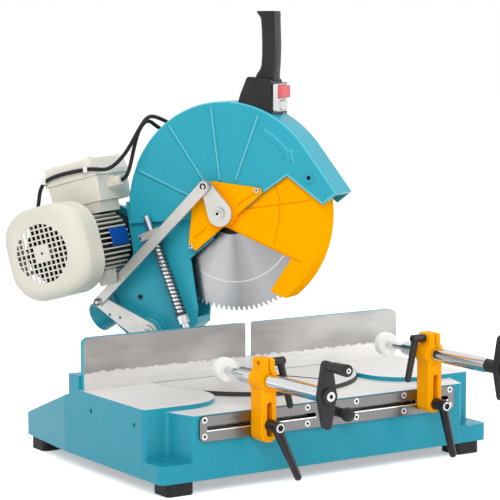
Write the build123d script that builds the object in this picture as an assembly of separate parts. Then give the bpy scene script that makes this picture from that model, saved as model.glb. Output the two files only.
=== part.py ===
from build123d import *
from math import atan2, cos, hypot, pi, radians, sin, sqrt, tan
import os

# Bench mitre saw with a belt-driven blade, swing arm, linked lower guard and two screw clamps.
# Millimetres, +Z up, X along the fence, -Y towards the operator.
# The shape is drawn about the turntable's axis with the floor at z = 0 and the fence face at y = 0.
# The saved parts are moved so that the origin is the middle of the four bench bolts, on the floor.
# Head pieces are drawn in side view as (rear, up) pairs, with w counted to the left of the blade,
# and then turned to the mitre angle that the saw rests at.

# Rest pose
rest_mitre = 30.0

# Clearances
run_gap = 0.1
slide_gap = 0.3
seat_gap = 0.2

# Base casting
base_half = 331.0
base_rear_half = 316.0
base_front = -257.0
base_front_half = 272.0
base_shoulder_half = 288.0
wing_front = -203.0
base_rear = 232.0
taper_start = 63.0
base_bottom = 22.0
table_z = 134.5
apron_z = 127.0
ledge_z = 51.0
ledge_inner = 262.0
rear_top_z = 60.0
slope_top_z = 124.0
slope_start = 46.0
wing_inner = 160.0
wing_corner_r = 85.0
seat_inner = 195.0
seat_top = 158.0
base_wall = 9.0
base_round = 7.0
pocket_top = 86.0
rib_half = 4.0
rib_x = 150.0

# Bench bolts and side holes
bolt_x = 292.0
front_bolt_y = -229.0
rear_bolt_y = 191.0
bolt_hole_r = 4.5
bolt_boss_r = 22.0
side_hole_r = 4.0
side_hole_z = 105.0
side_hole_y = (-172.0, -30.0)
side_hole_deep = 20.0

# Feet
foot_wide = 50.0
foot_deep = 46.0
foot_round = 8.0

# Turntable
disc_r = 190.0
recess_r = 191.0
disc_bottom = 98.0
disc_skin = 10.0
disc_rim = 12.0
hub_r = 40.0
spigot_r = 35.0
spigot_bottom = 85.7
kerf_half = 4.0
kerf_front = -165.0
kerf_rear = 60.0
kerf_deep = 14.0
swivel_r = 8.0

# Fence
fence_thick = 12.0
fence_half = 326.4
fence_gap_half = 5.3
fence_top = 222.8
fence_corner_r = 12.0

# Clamp rail and lock knob
rail_thick = 4.0
rail_mid_x = -5.0
rail_half = 257.0
rail_low = 84.5
rail_high = 125.6
rail_mid = 106.0
rail_slot_half = 3.6
rail_slots = ((-249.0, -38.0), (28.0, 239.0))
rail_pocket_half = 12.5
rail_pocket_deep = 13.0
channel_wall = 2.4
channel_over = 10.0
rail_screw_count = 6
rail_screw_pitch = 99.2
rail_screw_off = 13.3
rail_screw_r = 5.6
rail_socket_r = 2.6
rail_socket_deep = 2.0
knob_x = 5.0
knob_ball_y = -290.0
knob_ball_r = 12.0
knob_stem_r = 4.0

# Head, side view
blade_axis = (30.7, 417.7)
blade_r = 175.0
blade_half = 1.6
blade_bore_r = 16.0
tooth_count = 108
tooth_deep = 7.0
tooth_drop = 1.0
tooth_back = 0.28
gullet_span = (0.55, 0.90)
arm_pivot = (174.0, 199.0)
pivot_shaft_r = 12.5
guard_r = 192.6
guard_wall = 4.0
guard_round = 5.0
guard_left = 30.0
guard_right = -33.0
nose_angle = 142.2
nose_length = 99.0
nose_end = 32.0
guard_ribs = ((22.0, 72.0, 180.0), (54.0, 66.0, 183.0), (82.0, 58.0, 183.0), (111.2, 62.0, 182.0))
rib_small_r = 3.0
rib_large_r = 4.0
rib_high = 3.0
rib_round = 2.4
guard_notch = (-89.3, 485.2)
cover_corner = (-43.0, 454.0)
throat_top = (60.0, 369.0)
step_front = (72.0, 404.9)
step_rear = (238.0, 388.8)
arm_left = 22.0
arm_wall = 6.0
blade_slot_r = 181.0
blade_slot_half = 12.0
lower_guard_r = 184.0
lower_guard_wall = 3.0
lower_guard_side = 23.0
sleeve_r = 16.0
bearing_r = 23.5
bearing_bore_r = 10.0
bearing_wide = 14.0
arbor_boss_r = 30.0
spout_r = 28.0
spout_bore_r = 25.0
spout_rim = (302.0, 214.0)
spout_angle = -31.0
spout_length = 62.0
spout_free = 32.0

# Guard linkage
lever_pin = (57.0, 464.0)
anchor_pin = (271.0, 250.0)
anchor_holes = ((250.0, 228.0), (229.0, 224.0))
anchor_hole_r = 2.5
link_half = 8.2
lever_left = (45.0, 50.0)
link_left = (52.5, 57.5)
anchor_left = (46.2, 51.2)
link_pin_r = 4.0
link_play = 2.9

# Return spring and rod
rod_foot = (96.0, 200.0)
rod_hole = (168.4, 374.9)
rod_left = 40.0
rod_r = 6.0
rod_top_over = 34.0
rod_play = 2.8
spring_mean_r = 9.25
spring_wire_r = 1.5
spring_turns = 21
collar_r = 10.0
collar_at = (22.0, 36.0)
rod_eye_half = 6.6
lug_half = 22.0
lug_thick = 13.0

# Motor
motor_axis = (284.0, 352.3)
motor_tilt = 15.0
shield_r = 54.0
frame_r = 60.0
fin_r = 68.0
fin_thick = 2.6
fin_step = 8.0
fin_gap = (-46.0, 34.0)
frame_left = (24.0, 158.0)
shield_right = -19.0
spigot_motor_r = 40.0
near_bearing = -17.0
far_bearing = 140.0
rotor_r = 30.0
rotor_left = (8.0, 128.0)
stator_bore_r = 30.8
shaft_r = 10.0
fan_r = 58.0
fan_left = (174.0, 198.0)
motor_foot_at = (-30.0, 30.0)
motor_foot_low = -77.0
motor_foot_left = (62.0, 96.0)
cowl_half = 81.0
cowl_corner_r = 58.0
cowl_left = (154.0, 220.0)
cowl_round = 26.0
cowl_wall = 2.2
cowl_seat = 6.0
grille_pitch = 9.4
grille_hole = 6.8
grille_r = 51.0
grille_middle_r = 15.0
box_shift = -12.0
box_half = 52.0
box_draft = 4.0
box_low = 70.0
box_high = 115.0
box_wall = 4.0
lid_over = 2.0
lid_lip = 9.0
lid_draft = 7.0
lid_high = 148.0
box_left = (-18.0, 92.0)
gland_at = (98.0, 46.0)
gland_out = 74.0

# Belt drive
arbor_pulley_r = 32.0
motor_pulley_r = 36.0
pulley_left = (-80.0, -64.0)
belt_thick = 5.0
cover_right = -86.0
cover_wall = 3.0

# Handle and switch
handle_half_w = 22.0
switch_half_w = 20.0

# Leads
lead_r = 3.5
duct_rear = -8.0

# Clamps
tube_r = 12.5
tube_bore_r = 6.15
push_r = 6.0
push_long = 205.0
bolt_r = 5.0
bolt_head_half = 9.5
bracket_half = 14.4
bracket_deep = 31.0
bracket_back = base_front - rail_thick - slide_gap
bracket_front = bracket_back - bracket_deep
bracket_mid = (bracket_front + bracket_back) / 2
boss_r = 20.0
foot_drop = 100.0
slot_low = 9.0
slot_high = 65.5
slot_rim_high = 1.5
ear_half = 11.5
ear_rise = 35.5
ear_pin_rise = 27.0
ear_pin_r = 4.0
lock_hub_r = 10.0
lock_hub_long = 29.0
lock_hub_end = bracket_front - slot_rim_high - seat_gap - lock_hub_long
lock_arm_drop = 78.0
lever_hub_r = 7.0
lever_hub_long = 27.0
lever_arm_drop = 70.0
tube_back = -214.0
nose_long = 8.0
pad_r = 20.0
pad_thick = 19.0
screw_r = 4.0
screw_long = 132.0
push_bore_long = 140.0
crank_reach = 46.0
crank_hub_r = 16.0
crank_thick = 12.0
crank_collar_r = 11.0
crank_grip_long = 50.0

parts = {}


def outline(*points):
    return make_face(Polyline(*points, close=True))


def disc(centre, r):
    return Pos(*centre) * Circle(r)


def tapered(p, rp, q, rq):
    return make_hull((disc(p, rp) + disc(q, rq)).edges())


def side(sketch, right, left):
    return extrude(Plane.YZ.offset(-left) * sketch, left - right)


def axle(centre, r, right, left):
    return side(disc(centre, r), right, left)


def along_x(y, z, r, x0, x1):
    return extrude(Plane.YZ.offset(x0) * disc((y, z), r), x1 - x0)


def along_y(x, z, r, y0, y1):
    return extrude(Plane((x, y0, z), x_dir=(1, 0, 0), z_dir=(0, 1, 0)) * Circle(r), y1 - y0)


def along_z(x, y, r, z0, z1):
    return extrude(Plane.XY.offset(z0) * disc((x, y), r), z1 - z0)


def block(x0, x1, y0, y1, z0, z1):
    return Pos((x0 + x1) / 2, (y0 + y1) / 2, (z0 + z1) / 2) * Box(x1 - x0, y1 - y0, z1 - z0)


def front_view(sketch, y_front, y_back):
    return extrude(Plane((0, y_front, 0), x_dir=(1, 0, 0), z_dir=(0, -1, 0)) * sketch, y_front - y_back)


def polar(centre, r, angle):
    return (centre[0] + r * cos(radians(angle)), centre[1] + r * sin(radians(angle)))


def between(p, q, t):
    return tuple(a + (b - a) * t for a, b in zip(p, q))


# Base

def base_plan():
    half = [
        (base_rear_half, base_rear),
        (base_half, taper_start),
        (base_half, wing_front),
        (base_shoulder_half, wing_front),
        (base_front_half, base_front),
    ]
    mirrored = [(-x, y) for x, y in reversed(half)]
    round_r = min(base_round, 0.45 * (base_half - base_shoulder_half))
    return fillet(outline(*half, *mirrored).vertices(), round_r)


def slope_at(y):
    return slope_top_z - (y - slope_start) * (slope_top_z - rear_top_z) / (base_rear - slope_start)


def wing_pad(sign):
    x_in, x_out = sorted((sign * wing_inner, sign * base_half))
    pad = Pos((x_in + x_out) / 2, (wing_front + slope_start) / 2)
    pad = pad * Rectangle(x_out - x_in, slope_start - wing_front)
    corner = pad.vertices().sort_by(lambda v: abs(v.X) * 10 + v.Y)[0]
    pad = fillet(corner, wing_corner_r)
    return extrude(Plane.XY.offset(apron_z) * (pad & base_plan()), table_z - apron_z)


def rear_pocket(x0, x1, y0):
    y1 = base_rear - base_wall
    roof = base_wall + 3
    top = min(slope_at(y0) - roof, pocket_top)
    run = (base_rear - slope_start) / (slope_top_z - rear_top_z)
    y_top = max(y0, slope_start + (slope_top_z - roof - top) * run) + 0.01
    floor = base_bottom - 1
    face = outline((y0, floor), (y1, floor), (y1, slope_at(y1) - roof), (y_top, top), (y0, top))
    return extrude(Plane.YZ.offset(x0) * face, x1 - x0)


def pockets():
    y_front = base_front + rail_pocket_deep + base_wall
    inner = rib_x - rib_half
    outer = rib_x + rib_half
    y_split = 112.0
    list_of = [block(-inner, inner, y_front, y_split - rib_half, base_bottom - 1, pocket_top)]
    list_of.append(rear_pocket(-inner, inner, y_split + rib_half))
    for sign in (-1, 1):
        wing = outline(
            (sign * outer, y_front),
            (sign * 258, y_front),
            (sign * 258, wing_front + base_wall + 6),
            (sign * (base_half - base_wall), wing_front + base_wall + 6),
            (sign * (base_half - base_wall), 40),
            (sign * outer, 40),
        )
        list_of.append(extrude(Plane.XY.offset(base_bottom - 1) * wing, pocket_top - base_bottom + 1))
        rear = rear_pocket(outer, bolt_x - bolt_boss_r - 4, 40 + 2 * rib_half)
        list_of.append(rear if sign > 0 else mirror(rear, Plane.YZ))
        upper = block(205, base_half - base_wall - 12, wing_front + 15, 0,
                      pocket_top - 1, table_z - disc_skin)
        list_of.append(upper if sign > 0 else mirror(upper, Plane.YZ))
    return list_of


def make_base():
    plan = base_plan()
    body = extrude(Plane.XY.offset(base_bottom) * plan, apron_z - base_bottom)
    rear_cut = outline(
        (slope_start, slope_top_z),
        (base_rear + 5, slope_at(base_rear + 5)),
        (base_rear + 5, table_z + 50),
        (slope_start, table_z + 50),
    )
    body -= extrude(Plane.YZ.offset(-base_half - 20) * rear_cut, 2 * base_half + 40)
    for sign in (-1, 1):
        body += wing_pad(sign)
        x0, x1 = sorted((sign * seat_inner, sign * base_half))
        seat = Pos((x0 + x1) / 2, (fence_thick + slope_start) / 2)
        seat = seat * Rectangle(x1 - x0, slope_start - fence_thick)
        body += extrude(Plane.XY.offset(apron_z) * (seat & plan), seat_top - apron_z)
        x0, x1 = sorted((sign * ledge_inner, sign * base_half))
        ledge = Pos((x0 + x1) / 2, (wing_front + base_front) / 2 + 2)
        ledge = ledge * Rectangle(x1 - x0, wing_front - base_front + 2)
        outer = ledge.vertices().sort_by(lambda v: v.Y - abs(v.X) * 10)[0]
        ledge = fillet(outer, 12)
        body += extrude(Plane.XY.offset(base_bottom) * ledge, ledge_z - base_bottom)
    for pocket in pockets():
        body -= pocket
    body -= along_z(0, 0, recess_r, disc_bottom - slide_gap, table_z + 20)
    body -= along_z(0, 0, spigot_r + run_gap, 40, table_z)
    for x0, x1 in rail_slots:
        body -= block(x0 - channel_over, x1 + channel_over, base_front - 1, base_front + rail_pocket_deep,
                      rail_mid - rail_pocket_half, rail_mid + rail_pocket_half)
    body -= along_y(knob_x, rail_mid, knob_stem_r + run_gap, base_front - 1, 0)
    for x in (-bolt_x, bolt_x):
        for y in (front_bolt_y, rear_bolt_y):
            body -= along_z(x, y, bolt_hole_r, 0, table_z)
    for y in side_hole_y:
        body -= along_x(y, side_hole_z, side_hole_r, -base_half - 1, -base_half + side_hole_deep)
        body -= along_x(y, side_hole_z, side_hole_r, base_half - side_hole_deep, base_half + 1)
    return body


def make_feet():
    feet = []
    for x in (-bolt_x, bolt_x):
        for y in (front_bolt_y, rear_bolt_y):
            foot = extrude(RectangleRounded(foot_wide, foot_deep, foot_round), base_bottom)
            foot = fillet(foot.edges().filter_by(Plane.XY).group_by(Axis.Z)[0], 2)
            foot -= Cylinder(bolt_hole_r, 3 * base_bottom)
            feet.append(Pos(x, y, 0) * foot)
    return feet


def make_fence(sign):
    face = outline(
        (sign * fence_gap_half, table_z),
        (sign * fence_half, table_z),
        (sign * fence_half, fence_top),
        (sign * fence_gap_half, fence_top),
    )
    top = face.vertices().sort_by(lambda v: v.Y + abs(v.X))[-1]
    face = fillet(top, fence_corner_r)
    plate = front_view(face, fence_thick, 0)
    lift = outline(
        (0, table_z - 1),
        (sign * seat_inner, table_z - 1),
        (sign * seat_inner, table_z + 0.5),
        (0, table_z + 0.5),
    )
    plate -= front_view(lift, fence_thick + 1, -1)
    past = fence_thick + 8
    bevel = outline((0, 0), (sign * fence_gap_half, 0), (sign * (fence_gap_half + past), past), (0, past))
    plate -= extrude(Plane.XY.offset(table_z - 1) * bevel, fence_top)
    back = block(fence_gap_half + 30, fence_half - 20, fence_thick, fence_thick + 7,
                 fence_top - 14, fence_top - 6)
    plate += back if sign > 0 else mirror(back, Plane.YZ)
    return plate


def rail_screw_places():
    first = rail_mid_x - (rail_screw_count - 1) / 2 * rail_screw_pitch
    across = [first + i * rail_screw_pitch for i in range(rail_screw_count)]
    return [(x, rail_mid + off) for x in across for off in (-rail_screw_off, rail_screw_off)]


def rail_channel(x0, x1, inset):
    over = channel_over - inset
    half = rail_pocket_half - inset
    return block(x0 - over, x1 + over, base_front, base_front + rail_pocket_deep - inset,
                 rail_mid - half, rail_mid + half)


def make_rail():
    height = rail_high - rail_low
    face = Pos(rail_mid_x, rail_low + height / 2) * RectangleRounded(2 * rail_half, height, 9)
    for x0, x1 in rail_slots:
        face -= Pos((x0 + x1) / 2, rail_mid) * SlotOverall(x1 - x0, 2 * rail_slot_half)
    face -= disc((knob_x, rail_mid), knob_stem_r + slide_gap)
    for place in rail_screw_places():
        face -= disc(place, rail_screw_r + run_gap)
    body = front_view(face, base_front, base_front - rail_thick)
    for x0, x1 in rail_slots:
        body += rail_channel(x0, x1, run_gap) - rail_channel(x0, x1, run_gap + channel_wall)
    return body


def make_rail_screws():
    y_face = base_front - rail_thick + seat_gap
    screws = []
    for x, z in rail_screw_places():
        socket = Pos(x, z) * RegularPolygon(rail_socket_r, 6)
        head = along_y(x, z, rail_screw_r, y_face, base_front)
        screws.append(head - front_view(socket, y_face + rail_socket_deep, y_face - 1))
    return screws


def make_lock_knob():
    y_face = base_front - rail_thick
    stem = along_y(knob_x, rail_mid, knob_stem_r, knob_ball_y, -disc_r - 0.6)
    collar = along_y(knob_x, rail_mid, 8.0, y_face - 11, y_face - slide_gap)
    ball = Pos(knob_x, knob_ball_y, rail_mid) * Sphere(knob_ball_r)
    return stem + collar + ball


# Turntable and its bracket

def make_turntable():
    table = along_z(0, 0, disc_r, disc_bottom, table_z)
    pocket = Circle(disc_r - disc_rim) - Circle(hub_r)
    for angle in range(0, 180, 45):
        pocket -= Rot(0, 0, angle) * Rectangle(2 * disc_r, 8)
    table -= extrude(Plane.XY.offset(disc_bottom - 1) * pocket, table_z - disc_skin - disc_bottom + 1)
    table += along_z(0, 0, spigot_r, spigot_bottom, disc_bottom)
    table -= along_z(0, 0, swivel_r, 0, disc_bottom + 16)
    table -= block(-kerf_half, kerf_half, kerf_front, kerf_rear, table_z - kerf_deep, table_z + 1)
    return table


def make_swivel_bolt():
    plate_low = spigot_bottom - 5
    nut = extrude(Plane.XY.offset(plate_low - 10) * RegularPolygon(13, 6), 10)
    plate = along_z(0, 0, spigot_r + 11, plate_low, spigot_bottom)
    return nut + plate + along_z(0, 0, swivel_r, spigot_bottom, disc_bottom + 14)


def make_bracket():
    foot = fillet(block(-47, 47, 118, 186, table_z, table_z + 11).edges().filter_by(Axis.Z), 8)
    u, v = arm_pivot
    ear = tapered(arm_pivot, 27, (u, table_z + 8), 30)
    ear -= outline((0, 0), (400, 0), (400, table_z), (0, table_z))
    body = foot + side(ear, 33, 45.5) + side(ear, -45.5, -33)
    post = tapered(rod_foot, 12, (108, table_z + 8), 18)
    post -= outline((0, 0), (400, 0), (400, table_z), (0, table_z))
    body += side(post, 48.5, 58.5)
    body += block(-58.5, -40, 100, 132, table_z, table_z + 11)
    body += axle(rod_foot, 5.0, 33.0, 48.5)
    body -= axle(arm_pivot, pivot_shaft_r, -60, 60)
    return body


def make_pivot_shaft():
    shaft = axle(arm_pivot, pivot_shaft_r, -50, 46)
    cap = axle(arm_pivot, 17, -54, -45.7)
    return shaft + cap


def make_anchor():
    plate = tapered(arm_pivot, 21, anchor_pin, 11)
    body = side(plate, *anchor_left)
    body += axle(arm_pivot, 15, anchor_left[1], anchor_left[1] + 4)
    body += axle(anchor_pin, link_pin_r, anchor_left[1], link_left[1] + 1)
    body += axle(anchor_pin, 7, link_left[1] + 0.4, link_left[1] + 4)
    for spare in anchor_holes:
        body -= axle(spare, anchor_hole_r, anchor_left[0] - 1, anchor_left[1] + 1)
    return body


# Head

def nose_points():
    t = (cos(radians(nose_angle)), sin(radians(nose_angle)))
    d = (-t[1], t[0])
    root = polar(blade_axis, guard_r, nose_angle)
    corner = (root[0] + nose_length * d[0], root[1] + nose_length * d[1])
    tip = (corner[0] - nose_end * t[0], corner[1] - nose_end * t[1])
    return t, d, root, corner, tip


def below_guard():
    t, d, root, corner, tip = nose_points()
    past_end = (corner[0] + 30 * t[0], corner[1] + 30 * t[1])
    return outline(past_end, tip, guard_notch, cover_corner, throat_top, step_front, step_rear,
                   (260, 380), (260, 100), (-300, 100), (-300, 330))


def guard_face():
    root, corner, tip = nose_points()[2:]
    face = disc(blade_axis, guard_r) + outline(root, corner, tip, guard_notch, blade_axis)
    return face - below_guard()


def rim_edge(edge, t):
    out = [((p.Y - blade_axis[0]) * t[0] + (p.Z - blade_axis[1]) * t[1]) for p in (edge @ 0.25, edge @ 0.75)]
    far = [hypot(p.Y - blade_axis[0], p.Z - blade_axis[1]) for p in (edge @ 0.25, edge @ 0.75)]
    on_nose = all(abs(d - guard_r) < 0.05 for d in out)
    return on_nose or all(abs(r - guard_r) < 0.05 for r in far)


def make_upper_guard():
    t, d, root, corner, tip = nose_points()
    body = side(guard_face(), guard_right, guard_left)
    edges = body.edges().filter_by(lambda e: abs(e.center().X + guard_left) < 0.01)
    edges = edges.filter_by(lambda e: rim_edge(e, t))
    body = fillet(edges, guard_round)
    inner_root = (root[0] - guard_wall * t[0], root[1] - guard_wall * t[1])
    past = tuple(c - guard_wall * a + 30 * b for c, a, b in zip(corner, t, d))
    low = tuple(c - (nose_end + 60) * a + 30 * b for c, a, b in zip(corner, t, d))
    hollow = disc(blade_axis, guard_r - guard_wall) + outline(inner_root, past, low, blade_axis)
    body -= side(hollow, guard_right + guard_wall, guard_left - guard_wall)
    rise = 6.0
    floor = outline(step_front, step_rear,
                    (step_rear[0], step_rear[1] + rise), (step_front[0], step_front[1] + rise))
    floor &= disc(blade_axis, guard_r - 1)
    body += side(floor, guard_right, guard_left)
    body -= side(disc(blade_axis, blade_slot_r), -blade_slot_half, blade_slot_half)
    body -= axle(blade_axis, 42, guard_left - guard_wall - 1, guard_left + 1)
    for angle, r0, r1 in guard_ribs:
        p, q = polar(blade_axis, r0, angle), polar(blade_axis, r1, angle)
        rib = side(tapered(p, rib_small_r, q, rib_large_r), guard_left - 1, guard_left + rib_high)
        body += fillet(rib.faces().sort_by(Axis.X)[0].edges(), rib_round)
    boss = (-130.7, 483.2)
    body += axle(boss, 9, guard_left - guard_wall, guard_left + 2)
    body -= axle(boss, 4, 0, guard_left + 3)
    body += axle(blade_axis, arbor_boss_r, guard_right, -12)
    body += axle(blade_axis, 36, -62, guard_right)
    body -= axle(blade_axis, 19, -70, 0)
    body -= axle(blade_axis, bearing_r, -62, -62 + bearing_wide + 1)
    body -= axle(blade_axis, bearing_r, -12 - bearing_wide - 1, -12)
    return body


def arm_face():
    return outline(step_front, between(step_front, step_rear, 0.907), (225.6, 428), (233, 428), (218, 336),
                   (262, 270), (252, 205), (215, 178), (174, 169), (132, 180), (92, 217), (90, 245),
                   (104, 332), (85, 349), throat_top)


def make_arm():
    face = arm_face()
    body = side(face, guard_right, arm_left)
    hollow = offset(face, -arm_wall, kind=Kind.INTERSECTION)
    hollow += outline((70, 232), (112, 226), (120, 330), (104, 345), (70, 345))
    body -= side(hollow, guard_right + arm_wall, arm_left - arm_wall)
    body += axle(arm_pivot, 30, -32.5, 32.5)
    body -= side(disc(blade_axis, blade_slot_r), -blade_slot_half, blade_slot_half)
    d = (cos(radians(spout_angle)), sin(radians(spout_angle)))
    root = (spout_rim[0] - spout_length * d[0], spout_rim[1] - spout_length * d[1])
    start = Plane(origin=(0, *root), z_dir=(0, *d))
    body += extrude(start * Circle(spout_r + 2), spout_length - spout_free)
    body += extrude(start * Circle(spout_r), spout_length)
    body -= extrude(start * Circle(spout_bore_r), spout_length + 1)
    plate = tapered(motor_axis, 66, (215, 318), 40) - disc(blade_axis, guard_r + 0.3)
    body += side(plate, guard_right, shield_right)
    body -= axle(arm_pivot, pivot_shaft_r + run_gap, -60, 60)
    body -= axle(motor_axis, spigot_motor_r + 0.05, -60, shield_right + 1)
    throat_edge = body.edges().filter_by(lambda e: abs(e.center().X + arm_left) < 0.01)
    throat_edge = throat_edge.filter_by(lambda e: 88 < e.center().Y < 100 and 225 < e.center().Z < 320)
    body = chamfer(throat_edge, 5)
    return body


def make_arbor_cover():
    plate = outline((56, 472), (-41, 463), cover_corner, (85.5, 349), (100, 354.5), (91, 437.5))
    plate = fillet(plate.vertices(), 5)
    body = side(plate, guard_left, guard_left + 4)
    body += axle(blade_axis, 25, lower_guard_side + 0.5, guard_left + 10)
    body -= axle(blade_axis, sleeve_r + run_gap, 0, 60)
    for at in ((93.0, 357.0), (-35.0, 459.0)):
        body += axle(at, 4.5, guard_left + 4, guard_left + 6.5)
    return body


def rod_axes():
    run = (rod_hole[0] - rod_foot[0], rod_hole[1] - rod_foot[1])
    length = hypot(*run)
    return (run[0] / length, run[1] / length), length


def rod_plane(along):
    (du, dv), length = rod_axes()
    return Plane(origin=(-rod_left, rod_foot[0] + along * du, rod_foot[1] + along * dv),
                 x_dir=(1, 0, 0), z_dir=(0, du, dv))


def make_spring_lug():
    length = rod_axes()[1]
    low = length - lug_thick / 2
    lug = extrude(rod_plane(low) * Rectangle(22, 2 * lug_half), lug_thick)
    lug += extrude(rod_plane(low) * Pos(14, 0) * Rectangle(8, 2 * lug_half), lug_thick)
    hole_r = rod_r + slide_gap
    hole = Rot(0, 0, 90) * SlotOverall(2 * (hole_r + rod_play), 2 * hole_r)
    return lug - extrude(rod_plane(low - 1) * hole, lug_thick + 2)


def make_rod():
    length = rod_axes()[1]
    rod = extrude(rod_plane(9) * Circle(rod_r), length + rod_top_over - 9)
    rod += extrude(rod_plane(collar_at[0]) * Circle(collar_r), collar_at[1] - collar_at[0])
    eye = axle(rod_foot, 11, rod_left - rod_eye_half, rod_left + rod_eye_half)
    rod = rod + eye
    rod -= axle(rod_foot, 5.0 + run_gap, 0, 100)
    return rod


def biarc(p0, t0, p1, t1):
    v = p1 - p0
    t = t0 + t1
    k = 2 * (1 - t0.dot(t1))
    d = (-v.dot(t) + sqrt(v.dot(t) ** 2 + k * v.dot(v))) / k
    a, b = p0 + t0 * d, p1 - t1 * d
    middle = (a + b) * 0.5
    return [TangentArc(p0, middle, tangent=t0), TangentArc(middle, p1, tangent=(b - a).normalized())]


def make_spring():
    length = rod_axes()[1]
    start = collar_at[1] + spring_wire_r + seat_gap
    end = length - lug_thick / 2 - spring_wire_r - seat_gap
    pitch = (end - start) / spring_turns

    def at(turn):
        angle = 2 * pi * turn
        return Vector(spring_mean_r * cos(angle), spring_mean_r * sin(angle), start + pitch * turn)

    def way(turn):
        angle = 2 * pi * turn
        return Vector(-sin(angle) * spring_mean_r, cos(angle) * spring_mean_r, pitch / (2 * pi)).normalized()

    edges = []
    for half in range(2 * spring_turns):
        edges += biarc(at(half / 2), way(half / 2), at(half / 2 + 0.5), way(half / 2 + 0.5))
    path = Wire([edge.edge() for edge in edges])
    section = Plane(origin=at(0), z_dir=way(0)) * Circle(spring_wire_r)
    spring = sweep(section, path=path)
    slope = cos(atan2(pitch, 2 * pi * spring_mean_r))
    print("spring gap between turns", round(pitch * slope - 2 * spring_wire_r, 2), "mm")
    return rod_plane(0).location * spring


def make_lower_guard():
    hub = blade_axis
    toe = [(-94.4, 343.2), (-55.1, 285.6), (-67.9, 278.5)]
    arc_low, arc_high = 231.5, 116.0
    rim = [polar(hub, lower_guard_r, arc_low + (arc_high - arc_low) * i / 24) for i in range(25)]
    plate = outline((30.9, 391.9), *toe, *rim, (28, 444)) + disc(hub, 26)
    solid = disc(hub, lower_guard_r) & plate
    body = side(solid, -lower_guard_side, lower_guard_side)
    inner = disc(hub, lower_guard_r - lower_guard_wall)
    body -= side(inner, lower_guard_wall - lower_guard_side, lower_guard_side - lower_guard_wall)
    body -= axle(hub, arbor_boss_r + 0.3, -lower_guard_side - 1, 0)
    body += axle(hub, sleeve_r, lower_guard_side - lower_guard_wall, lever_left[0])
    body -= axle(hub, 10.5, 0, lever_left[0])
    return body


def make_guard_lever():
    body = side(tapered(blade_axis, 23, lever_pin, 10), *lever_left)
    body += axle(blade_axis, 10, lever_left[1], lever_left[1] + 5)
    body += axle(lever_pin, link_pin_r, lever_left[1], link_left[1] + 1)
    body += axle(lever_pin, link_pin_r + link_play + 2.4, link_left[1] + 0.5, link_left[1] + 3)
    return body


def make_link():
    bar = tapered(lever_pin, link_half + 1.8, anchor_pin, link_half)
    bar -= disc(lever_pin, link_pin_r + link_play)
    bar -= disc(anchor_pin, link_pin_r + run_gap)
    return side(bar, *link_left)


# Blade and belt drive

def make_blade():
    points = []
    step = 360.0 / tooth_count
    for i in range(tooth_count):
        a = i * step
        points.append(polar(blade_axis, blade_r, a))
        points.append(polar(blade_axis, blade_r - tooth_drop, a + tooth_back * step))
        for share in gullet_span:
            points.append(polar(blade_axis, blade_r - tooth_deep, a + share * step))
    return side(outline(*points) - disc(blade_axis, blade_bore_r), -blade_half, blade_half)


def make_arbor():
    body = axle(blade_axis, bearing_bore_r, -82, -blade_half)
    body += axle(blade_axis, 14, -12 + 0.6, -blade_half)
    body += axle(blade_axis, 40, -8, -blade_half)
    body += axle(blade_axis, blade_bore_r, -blade_half, blade_half - 0.4)
    body -= axle(blade_axis, 6, -30, 10)
    return body


def make_outer_flange():
    return side(disc(blade_axis, 40) - disc(blade_axis, 6), blade_half, 8)


def make_arbor_bolt():
    head = side(Pos(*blade_axis) * RegularPolygon(9.5, 6), 8, 16)
    return head + axle(blade_axis, 6, -28, 8)


def pulley(centre, r):
    body = axle(centre, r, *pulley_left)
    mid = sum(pulley_left) / 2
    for off in (-4.0, 0.0, 4.0):
        body -= side(disc(centre, r + 1) - disc(centre, r - 1.5), mid + off - 0.9, mid + off + 0.9)
    return body - axle(centre, bearing_bore_r, -100, 0)


def make_belt():
    near = seat_gap + 0.1
    inner = tapered(blade_axis, arbor_pulley_r + near, motor_axis, motor_pulley_r + near)
    outside = near + belt_thick
    outer = tapered(blade_axis, arbor_pulley_r + outside, motor_axis, motor_pulley_r + outside)
    return side(outer - inner, pulley_left[0] + 1, pulley_left[1] - 1)


def make_belt_cover():
    outer = tapered(blade_axis, 52, motor_axis, 58)
    inner = tapered(blade_axis, 52 - cover_wall, motor_axis, 58 - cover_wall)
    body = side(outer, cover_right, guard_right)
    body = fillet(body.edges().group_by(Axis.X)[-1], 6)
    body -= side(inner, cover_right + cover_wall, guard_right + 1)
    return body


def make_bearings():
    rings = []
    arbor_seats = ((blade_axis, -62.0), (blade_axis, -12.0 - bearing_wide))
    motor_seats = ((motor_axis, near_bearing), (motor_axis, far_bearing))
    for centre, low in arbor_seats + motor_seats:
        ring = side(disc(centre, bearing_r) - disc(centre, bearing_bore_r + 0.05), low, low + bearing_wide)
        rings.append(ring)
    return rings


# Motor

def motor_point(a, b):
    t = radians(motor_tilt)
    return (motor_axis[0] + a * cos(t) + b * sin(t), motor_axis[1] - a * sin(t) + b * cos(t))


def motor_sketch(sketch):
    return Pos(*motor_axis) * Rot(0, 0, -motor_tilt) * sketch


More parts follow.
